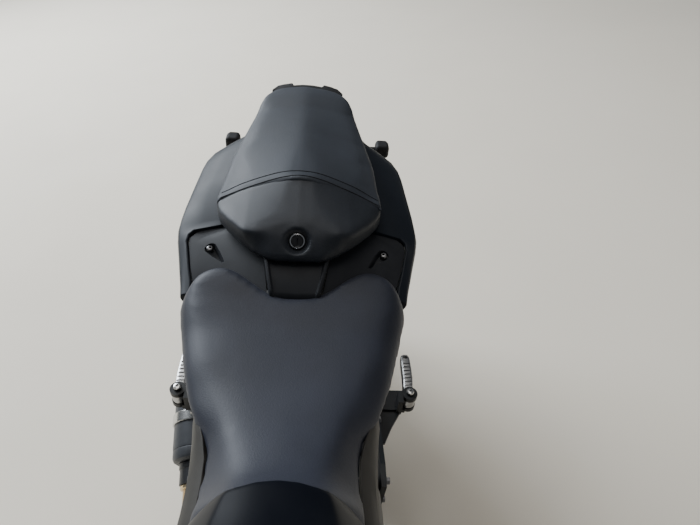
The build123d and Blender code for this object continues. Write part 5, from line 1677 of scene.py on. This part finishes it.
class ROADSTER_OT_pegs(bpy.types.Operator):
    """Make the folding pegs with their grooved tops, eyes and pivot bolts"""

    bl_idname = "roadster.pegs"
    bl_label = "Pillion Pegs"

    def execute(self, context):
        pivots, heads = [], []
        for side, sign in SIDES:
            body = f"passenger_peg_{side}"
            piece = linked(f"peg_bar_{side}", settle(drawn(loft, peg_rows(sign)), BIKE))
            hole = drawn(turned, [(0, -16), (3.6, -16), (3.6, 6), (6, 14), (0, 14)],
                         (-489, sign * 226, 460), UP, 24)
            grooves = bmesh.new()
            for k in range(7):
                plate(grooves, round_box_outline(4.2, 15, 2.0, 4), (-417 - 9.0 * k, sign * 225.5, 467.6),
                      AHEAD,
                      LEFT, 9)
            carved(piece, hole, grooves)
            round_edges(piece, 0.5, 40)
            finish_piece(piece, "peg_metal", (body,), body, sharp=34)
            eye = [(5.1, -10.6), (12.4, -10.6), (13.8, -9.2), (13.8, 9.2), (12.4, 10.6), (5.1, 10.6)]
            make(f"peg_eye_{side}", drawn(lathe, eye, (PEG_AT.x, sign * PEG_AT.y, PEG_AT.z), UP, 40),
                 "bright_steel", "peg_metal", body=body)
            pivots.append(((PEG_AT.x, sign * PEG_AT.y, 485.4), UP))
            for x, y, z in ((-212, 159.3, 488), (-212, 159.3, 420), (-352, 159.3, 449), (-190, 150.3, 400)):
                heads.append(((x, sign * y, z), (0, sign, 0)))
        web = linked("peg_gusset", settle(drawn(plate, GUSSET, (0, 0, 435), AHEAD, LEFT, 9, 1.0), BIKE))
        carved(web, drawn(turned, [(0, -20), (7.5, -20), (7.5, 20), (0, 20)], (*GUSSET_HOLE, 440), UP))
        finish_piece(web, "frame_paint", sharp=30)
        at_marks("peg_pivot_screws", pivots, socket_screw(7.6, 4.2))
        at_marks("bracket_bolts", heads, flange_bolt(6.4, 7.5), "dull_steel")
        return {"FINISHED"}


# The silencer, along its own axis from its front end

CAN_START = Vector((-292, -186, 326))
CAN_END = Vector((-520, -212, 384))
CAN_R = 49.0


class ROADSTER_OT_silencer(bpy.types.Operator):
    """Make the silencer's can, collar, light ring, outlet and the clamp band with its slot"""

    bl_idname = "roadster.silencer"
    bl_label = "Silencer"

    def execute(self, context):
        along = (CAN_END - CAN_START).normalized()
        face = CAN_START + along * 26
        length = (CAN_END - face).length
        can = [(0, 0), (30, 0), (CAN_R - 9, 1.5), (CAN_R - 3, 5.5), (CAN_R - 0.6, 11), (CAN_R - 0.6, 24),
               (CAN_R - 1.3, 25), (CAN_R - 0.6, 26), (CAN_R, 30), (CAN_R, length - 34),
               (CAN_R - 0.9, length - 33), (CAN_R - 0.2, length - 31.6), (CAN_R - 2, length - 16),
               (CAN_R - 7, length - 6), (CAN_R - 14, length - 1), (27, length), (24, length - 1),
               (22.5, length - 4), (22.5, length - 56), (0, length - 57)]
        make("silencer_can", drawn(turned, can, face, along, 96), "muffler_black", "muffler_black",
             ("muffler",),
             sharp=24)
        for name, slot, label, steps, profile in (
                ("collar", "muffler_black", "clamp_metal", 72,
                 [(25.6, -40), (31.5, -40), (33, -38.6), (33, -12), (34.5, -10), (35, 0), (25.6, 0)]),
                ("ring", "bright_steel", "gold_ring", 72,
                 [(25.4, -48), (29, -48), (30.6, -46.4), (30.6, -41.6), (29, -40), (25.4, -40)]),
                ("stub", "exhaust_steel", "exhaust_steel", 64,
                 [(21.5, -84), (24.6, -84), (25.2, -82), (25.2, -30), (21.5, -30)])):
            make(f"silencer_{name}", drawn(lathe, profile, face, along, steps), slot, label, sharp=30)
        out = (Vector(UP) - along * along.z).normalized()
        across = along.cross(out)
        middle = CAN_START + along * 112
        strap = [(CAN_R + r, s) for r, s in ((0.2, 101.5), (2.4, 101.5), (3.4, 102.6), (3.4, 121.4),
                                             (2.4, 122.5),
                                             (0.2, 122.5))]
        band = linked("silencer_band", settle(drawn(lathe, strap, CAN_START, along, 96), BIKE))
        carved(band, drawn(plate, round_box_outline(15, 4.4, 2.1, 6), middle + out * (CAN_R + 1.4), along,
                           -across,
                           -8))
        round_edges(band, 0.4, 40)
        finish_piece(band, "bright_steel", ("muffler_clamp",), sharp=30)
        base = middle + out * (CAN_R + 2)
        bm = bmesh.new()
        marks = []
        for sign in (-1, 1):
            plate(bm, [(-8, 0), (8, 0), (8, 14), (5, 18), (-5, 18), (-8, 14)],
                  base + across * (3.2 * sign) - across * 1.4, along, out, 2.8, 0.6)
            marks.append((base + out * 10 + across * (4.6 * sign), across * sign, along))
        make("silencer_hanger", bm, "bright_steel", "bright_steel", bevel=0.4)
        at_marks("silencer_bolts", marks, flange_bolt(4.4, 5.0))
        return {"FINISHED"}


# The steered pieces, in the fork frame

BAR_END = Vector((-86, 385, 1162.1))
BAR_MID = Vector((-12, 165, 1158.1))
BAR_ALONG = (BAR_END - BAR_MID).normalized()
GRIP_LENGTH = 122.0
LEG_Y = 105
LAMP_AT = Vector((172, 0, 905))
LAMP_R = 88.0
LAMP_RAKE = math.radians(24.5)


class ROADSTER_OT_grips(bpy.types.Operator):
    """Make the ribbed rubber grips and their bar ends"""

    bl_idname = "roadster.grips"
    bl_label = "Grips"

    def execute(self, context):
        sleeve = [(r, s - GRIP_LENGTH) for r, s in ((11.5, 2), (20.5, 2), (21, 4), (20.5, 7), (16.6, 9))]
        s = 14 - GRIP_LENGTH
        while s < -8:
            sleeve += [(16.2, s), (16.2, s + 3.6), (15.4, s + 4.2), (15.4, s + 5.4)]
            s += 6.0
        sleeve += [(16.8, -4), (17, 0), (16.2, 1.8), (11.5, 2)]
        plug = [(0, 2.6), (13.4, 2.6), (15, 4.4), (15, 15), (12.6, 18), (5.5, 18.3), (5, 16), (0, 16)]
        sleeves, plugs = (drawn(shape, profile, BAR_END, BAR_ALONG, 40)
                          for shape, profile in ((lathe, sleeve), (turned, plug)))
        mirrored(sleeves)
        mirrored(plugs)
        make("grip_sleeves", sleeves, "grip_rubber", "grip_rubber", ("grips",), sharp=26, **STEERED)
        make("bar_ends", plugs, "clamp_metal", "clamp_metal", sharp=30, **STEERED)
        return {"FINISHED"}


class ROADSTER_OT_cockpit(bpy.types.Operator):
    """Make the mirrors' glass, the display's screen, fork caps and clamp screws"""

    bl_idname = "roadster.cockpit"
    bl_label = "Cockpit"

    def execute(self, context):
        glass_at = BAR_END - BAR_ALONG * (GRIP_LENGTH + 62) + Vector((12, 126, 78.4))
        z = Vector((1, -0.12, 0.42)).normalized()
        x = Vector((-0.42, 0, 1))
        x = (x - z * x.dot(z)).normalized()
        bm = drawn(plate, round_box_outline(68, 122, 21, 8), glass_at - z * 1.2, x, z.cross(x), 1.4, 0.5)
        mirrored(bm)
        make("mirror_glass", bm, "clamp_metal", "mirror_silver", **STEERED)
        z = Vector((-0.55, 0, 0.83)).normalized()
        side = Vector(LEFT)
        make("display_screen", drawn(plate, round_box_outline(146, 84, 8, 6),
                                     Vector((78, 0, 1098)) + z * 16, side,
                                     z.cross(side), 0.9, 0.3), "black_plastic", "screen_glass", **STEERED)
        leg_x = FORK_AXLE.x / MM
        caps, screws = [], []
        for sign in (1, -1):
            caps.append(((leg_x, sign * LEG_Y, 1041), UP))
            screws += [((x, sign * 52, 1067), UP) for x in (-10, 10)]
            screws += [((leg_x + 20, sign * (LEG_Y + 20), z), UP) for z in (815, 1035)]
        at_marks("fork_caps", caps, flange_bolt(13.5, 8.0), "gold_ring", "clamp_metal", **STEERED)
        at_marks("clamp_screws", screws, socket_screw(5.0, 3.6), **STEERED)
        return {"FINISHED"}


class ROADSTER_OT_headlamp(bpy.types.Operator):
    """Make the headlamp's rim, stepped reflector, centre lamp and domed glass"""

    bl_idname = "roadster.headlamp"
    bl_label = "Headlamp"

    def execute(self, context):
        ahead = Vector((math.cos(LAMP_RAKE), 0, -math.sin(LAMP_RAKE)))
        bezel = [(-7.5, 2), (-7.5, 7), (-4, 10), (0.5, 9), (1.2, 4), (0.4, -10), (-1, -10), (-1, 2)]
        dish = [(0, -7.6), (LAMP_R - 8, -7.6), (LAMP_R - 8, -1.0), (LAMP_R - 9, 1.4)]
        for k in range(9):
            r = LAMP_R - 10 - 5.2 * k
            dish += [(r, 0.6 - 0.5 * k), (r - 4.2, 0.1 - 0.5 * k), (r - 4.6, -0.9 - 0.5 * k)]
        dish += [(26, -5.8), (0, -6)]
        core = [(0, -6.4), (24, -6.4), (24, -2), (21, 0), (19, -1), (16, 3), (9, 6), (0, 7)]
        dome = [(0, 10.8), (30, 9.8), (56, 6), (LAMP_R - 9, 1.2), (LAMP_R - 7.6, 1.2), (LAMP_R - 7.6, 3),
                (57, 8), (31, 11.8), (0, 12.9)]
        for name, shape, profile, steps, slot, label, stands_for, sharp in (
                ("lamp_rim", lathe, [(LAMP_R + r, s) for r, s in bezel], 96, "clamp_metal", "chrome_trim",
                 (), 30),
                ("lamp_reflector", turned, dish, 96, "clamp_metal", "chrome_trim", (), 14),
                ("lamp_core", turned, core, 64, "lamp_glass", "lamp_glass", (), 30),
                ("lamp_dome", turned, dome, 96, "lamp_glass", "lamp_glass", ("headlamp_lens",), 60)):
            make(name, drawn(shape, profile, LAMP_AT, ahead, steps), slot, label, stands_for, sharp=sharp,
                 **STEERED)
        return {"FINISHED"}


SIGNAL_AT = (-958, 183, 696)
PLATE_LOW, PLATE_HIGH = Vector((-1010, 0, 540)), Vector((-992.5, 0, 700))


class ROADSTER_OT_rear_lights(bpy.types.Operator):
    """Make the turn signals' lenses and the blank plate's screws"""

    bl_idname = "roadster.rear_lights"
    bl_label = "Rear Lights"

    def execute(self, context):
        x, y, z = SIGNAL_AT
        rows = []
        for dx, half_y, half_z in ((-6, 14.6, 14.6), (-17.4, 15.2, 15.4), (-19.6, 14.2, 14.4),
                                   (-20.6, 10, 10)):
            rows.append([(x + dx, y + u * half_y / 15, z + v * half_z / 15)
                         for u, v in round_box_outline(30, 30, 8, 6)])
        bm = drawn(loft, rows)
        mirrored(bm)
        make("signal_lenses", bm, "red_lens", "smoked_lens", sharp=34)
        up = (PLATE_HIGH - PLATE_LOW).normalized()
        back = up.cross(Vector(LEFT)).normalized()
        marks = []
        for sign in (1, -1):
            for at in (PLATE_HIGH - up * 18, PLATE_LOW + up * 18):
                marks.append((at + Vector((0, sign * 70, 0)), back, LEFT))
        at_marks("plate_bolts", marks, flange_bolt(5.0, 3.4))
        return {"FINISHED"}


# The round engine covers: side, centre x and z, radius, depth and bolts
ENGINE_COVERS = ((-1, 2, 334, 84, 44, 9), (-1, 158, 320, 56, 26, 6), (1, 128, 330, 80, 42, 9),
                 (1, -92, 400, 62, 22, 6))
ENGINE_HALF = 110.5


class ROADSTER_OT_fasteners(bpy.types.Operator):
    """Seat the bolts of the engine's covers, the rear sprocket and the calipers"""

    bl_idname = "roadster.fasteners"
    bl_label = "Fasteners"

    def execute(self, context):
        marks = []
        for sign, x, z, radius, depth, count in ENGINE_COVERS:
            centre = (x, sign * (ENGINE_HALF + depth - 0.3), z)
            marks += ring_marks(count, radius * 0.78, centre, sign, 0.6 * math.pi / count)
        at_marks("engine_screws", marks, flange_bolt(4.6, 5.2))
        marks = ring_marks(5, 52, (0, CHAIN_LINE_Y + 3.2, 0), 1, math.radians(56))
        at_marks("sprocket_bolts", marks, flange_bolt(6.2, 6.4), body="rear_wheel",
                 place=wheel_place("rear"))
        x, _, z = FORK_AXLE / MM
        marks = [((x - 96 + dx, sign * 97.4, z + 62 + dz), (0, sign, 0))
                 for sign in (1, -1) for dx, dz in ((-13.6, 44), (-2.4, -2))]
        at_marks("caliper_bolts", marks, flange_bolt(5.4, 5.0), **STEERED)
        return {"FINISHED"}


class ROADSTER_OT_finish_frame(bpy.types.Operator):
    """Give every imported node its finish"""

    bl_idname = "roadster.finish_frame"
    bl_label = "Frame Finishes"

    def execute(self, context):
        for name, node in frame["nodes"].items():
            if name not in NODE_FINISHES:
                raise RuntimeError(f"no finish is listed for {name}")
            material = finish(NODE_FINISHES[name])
            if not node.material_slots:
                node.data.materials.append(material)
            for slot in node.material_slots:
                slot.material = material
        return {"FINISHED"}


class ROADSTER_OT_studio(bpy.types.Operator):
    """Lay the floor, hang the soft lamps and set the camera over the tail"""

    bl_idname = "roadster.studio"
    bl_label = "Studio"

    def execute(self, context):
        studio = context.scene.roadster_studio
        self.floor()
        self.lamp("key", (-4.5, -4.2, 4.3), (-0.3, 0, 0.8), 4.8, studio.key_power, (0.88, 0.94, 1.0))
        self.lamp("overhead", (-1.6, 0.2, 5.2), (-1.6, 0.2, 0), 4.0, studio.fill_power, (1.0, 0.97, 0.92))
        self.lamp("low", (0.6, 3.2, 0.9), (0, 0, 0.5), 2.2, studio.low_power, (1.0, 0.95, 0.88))
        world = bpy.data.worlds.new("studio")
        world.use_nodes = True
        back = world.node_tree.nodes["Background"]
        back.inputs["Color"].default_value = (0.88, 0.93, 1.0, 1)
        back.inputs["Strength"].default_value = studio.sky
        context.scene.world = world
        self.camera(context)
        return {"FINISHED"}

    def floor(self):
        """A large flat floor."""
        steps = 24
        marks = [-9 + 18 * i / steps for i in range(steps + 1)]
        bm = drawn(grid, [[(x, y, 0.0) for x in marks] for y in marks])
        mesh = bpy.data.meshes.new("floor")
        bm.to_mesh(mesh)
        bm.free()
        ground = linked("floor", mesh)
        mesh.materials.append(finish("pale_floor"))

    def lamp(self, name, where, target, size, power, colour):
        """One soft rectangular lamp aimed at a point."""
        light = bpy.data.lights.new(name, "AREA")
        light.shape = "RECTANGLE"
        light.size = size
        light.size_y = size * 0.7
        light.energy = power
        light.color = colour
        holder = bpy.data.objects.new(name, light)
        holder.location = where
        holder.rotation_euler = (Vector(target) - Vector(where)).to_track_quat("-Z", "Y").to_euler()
        bpy.context.scene.collection.objects.link(holder)

    def camera(self, context):
        """The camera over the tank, looking down and back over the seats."""
        lens = bpy.data.cameras.new("camera")
        lens.lens = 26.49
        lens.sensor_width = 36
        lens.clip_start = 0.02
        lens.dof.use_dof = False
        right, down = Vector((0.0274, 0.9966, 0.0782)), Vector((0.6640, 0.0404, -0.7466))
        ahead = Vector((-0.7472, 0.0724, -0.6606))
        turn = Matrix((right, -down, -ahead)).transposed().to_4x4()
        eye = bpy.data.objects.new("camera", lens)
        context.scene.collection.objects.link(eye)
        eye.matrix_world = BIKE @ Matrix.Translation(Vector((0.190, 0.0225, 1.330))) @ turn
        context.scene.camera = eye


STEPS = ["finish_frame", "frame_waist", "rider_seat", "pillion_seat", "seat_lock", "tail_panels",
         "inner_plates", "tail_end",
         "side_covers", "tank", "tyres", "brake_discs", "chain", "shock", "pegs", "silencer", "grips",
         "cockpit",
         "headlamp", "rear_lights", "fasteners", "studio"]


class ROADSTER_PT_panel(bpy.types.Panel):
    """Lists the motorcycle's pieces and the settings that they read"""

    bl_label = "Motorcycle"
    bl_idname = "ROADSTER_PT_panel"
    bl_space_type = "VIEW_3D"
    bl_region_type = "UI"
    bl_category = "Motorcycle"

    def draw(self, context):
        layout = self.layout
        scene = context.scene
        for group in (scene.roadster_colours, scene.roadster_sizes, scene.roadster_studio):
            box = layout.box()
            for key in group.__annotations__:
                box.prop(group, key)
        for step in STEPS:
            layout.operator(f"roadster.{step}")


CLASSES = (
    RoadsterColours, RoadsterSizes, RoadsterStudio, ROADSTER_OT_finish_frame, ROADSTER_OT_rider_seat,
    ROADSTER_OT_frame_waist, ROADSTER_OT_pillion_seat, ROADSTER_OT_seat_lock, ROADSTER_OT_tail_panels,
    ROADSTER_OT_inner_plates,
    ROADSTER_OT_tail_end, ROADSTER_OT_side_covers, ROADSTER_OT_tank, ROADSTER_OT_tyres,
    ROADSTER_OT_brake_discs,
    ROADSTER_OT_chain, ROADSTER_OT_shock, ROADSTER_OT_pegs, ROADSTER_OT_silencer, ROADSTER_OT_grips,
    ROADSTER_OT_cockpit, ROADSTER_OT_headlamp, ROADSTER_OT_rear_lights, ROADSTER_OT_fasteners,
    ROADSTER_OT_studio, ROADSTER_PT_panel)


def register():
    """Register every class and hang the settings on the scene."""
    for cls in CLASSES:
        bpy.utils.register_class(cls)
    bpy.types.Scene.roadster_colours = bpy.props.PointerProperty(type=RoadsterColours)
    bpy.types.Scene.roadster_sizes = bpy.props.PointerProperty(type=RoadsterSizes)
    bpy.types.Scene.roadster_studio = bpy.props.PointerProperty(type=RoadsterStudio)


def unregister():
    """Take the settings and the classes away again."""
    del bpy.types.Scene.roadster_studio
    del bpy.types.Scene.roadster_sizes
    del bpy.types.Scene.roadster_colours
    for cls in reversed(CLASSES):
        bpy.utils.unregister_class(cls)


def corners(box):
    """A box as plain lists of numbers."""
    return [[float(v) for v in corner] for corner in box]


def main():
    """Make every piece."""
    register()
    for step in STEPS:
        getattr(bpy.ops.roadster, step)()


if __name__ == "__main__":
    main()
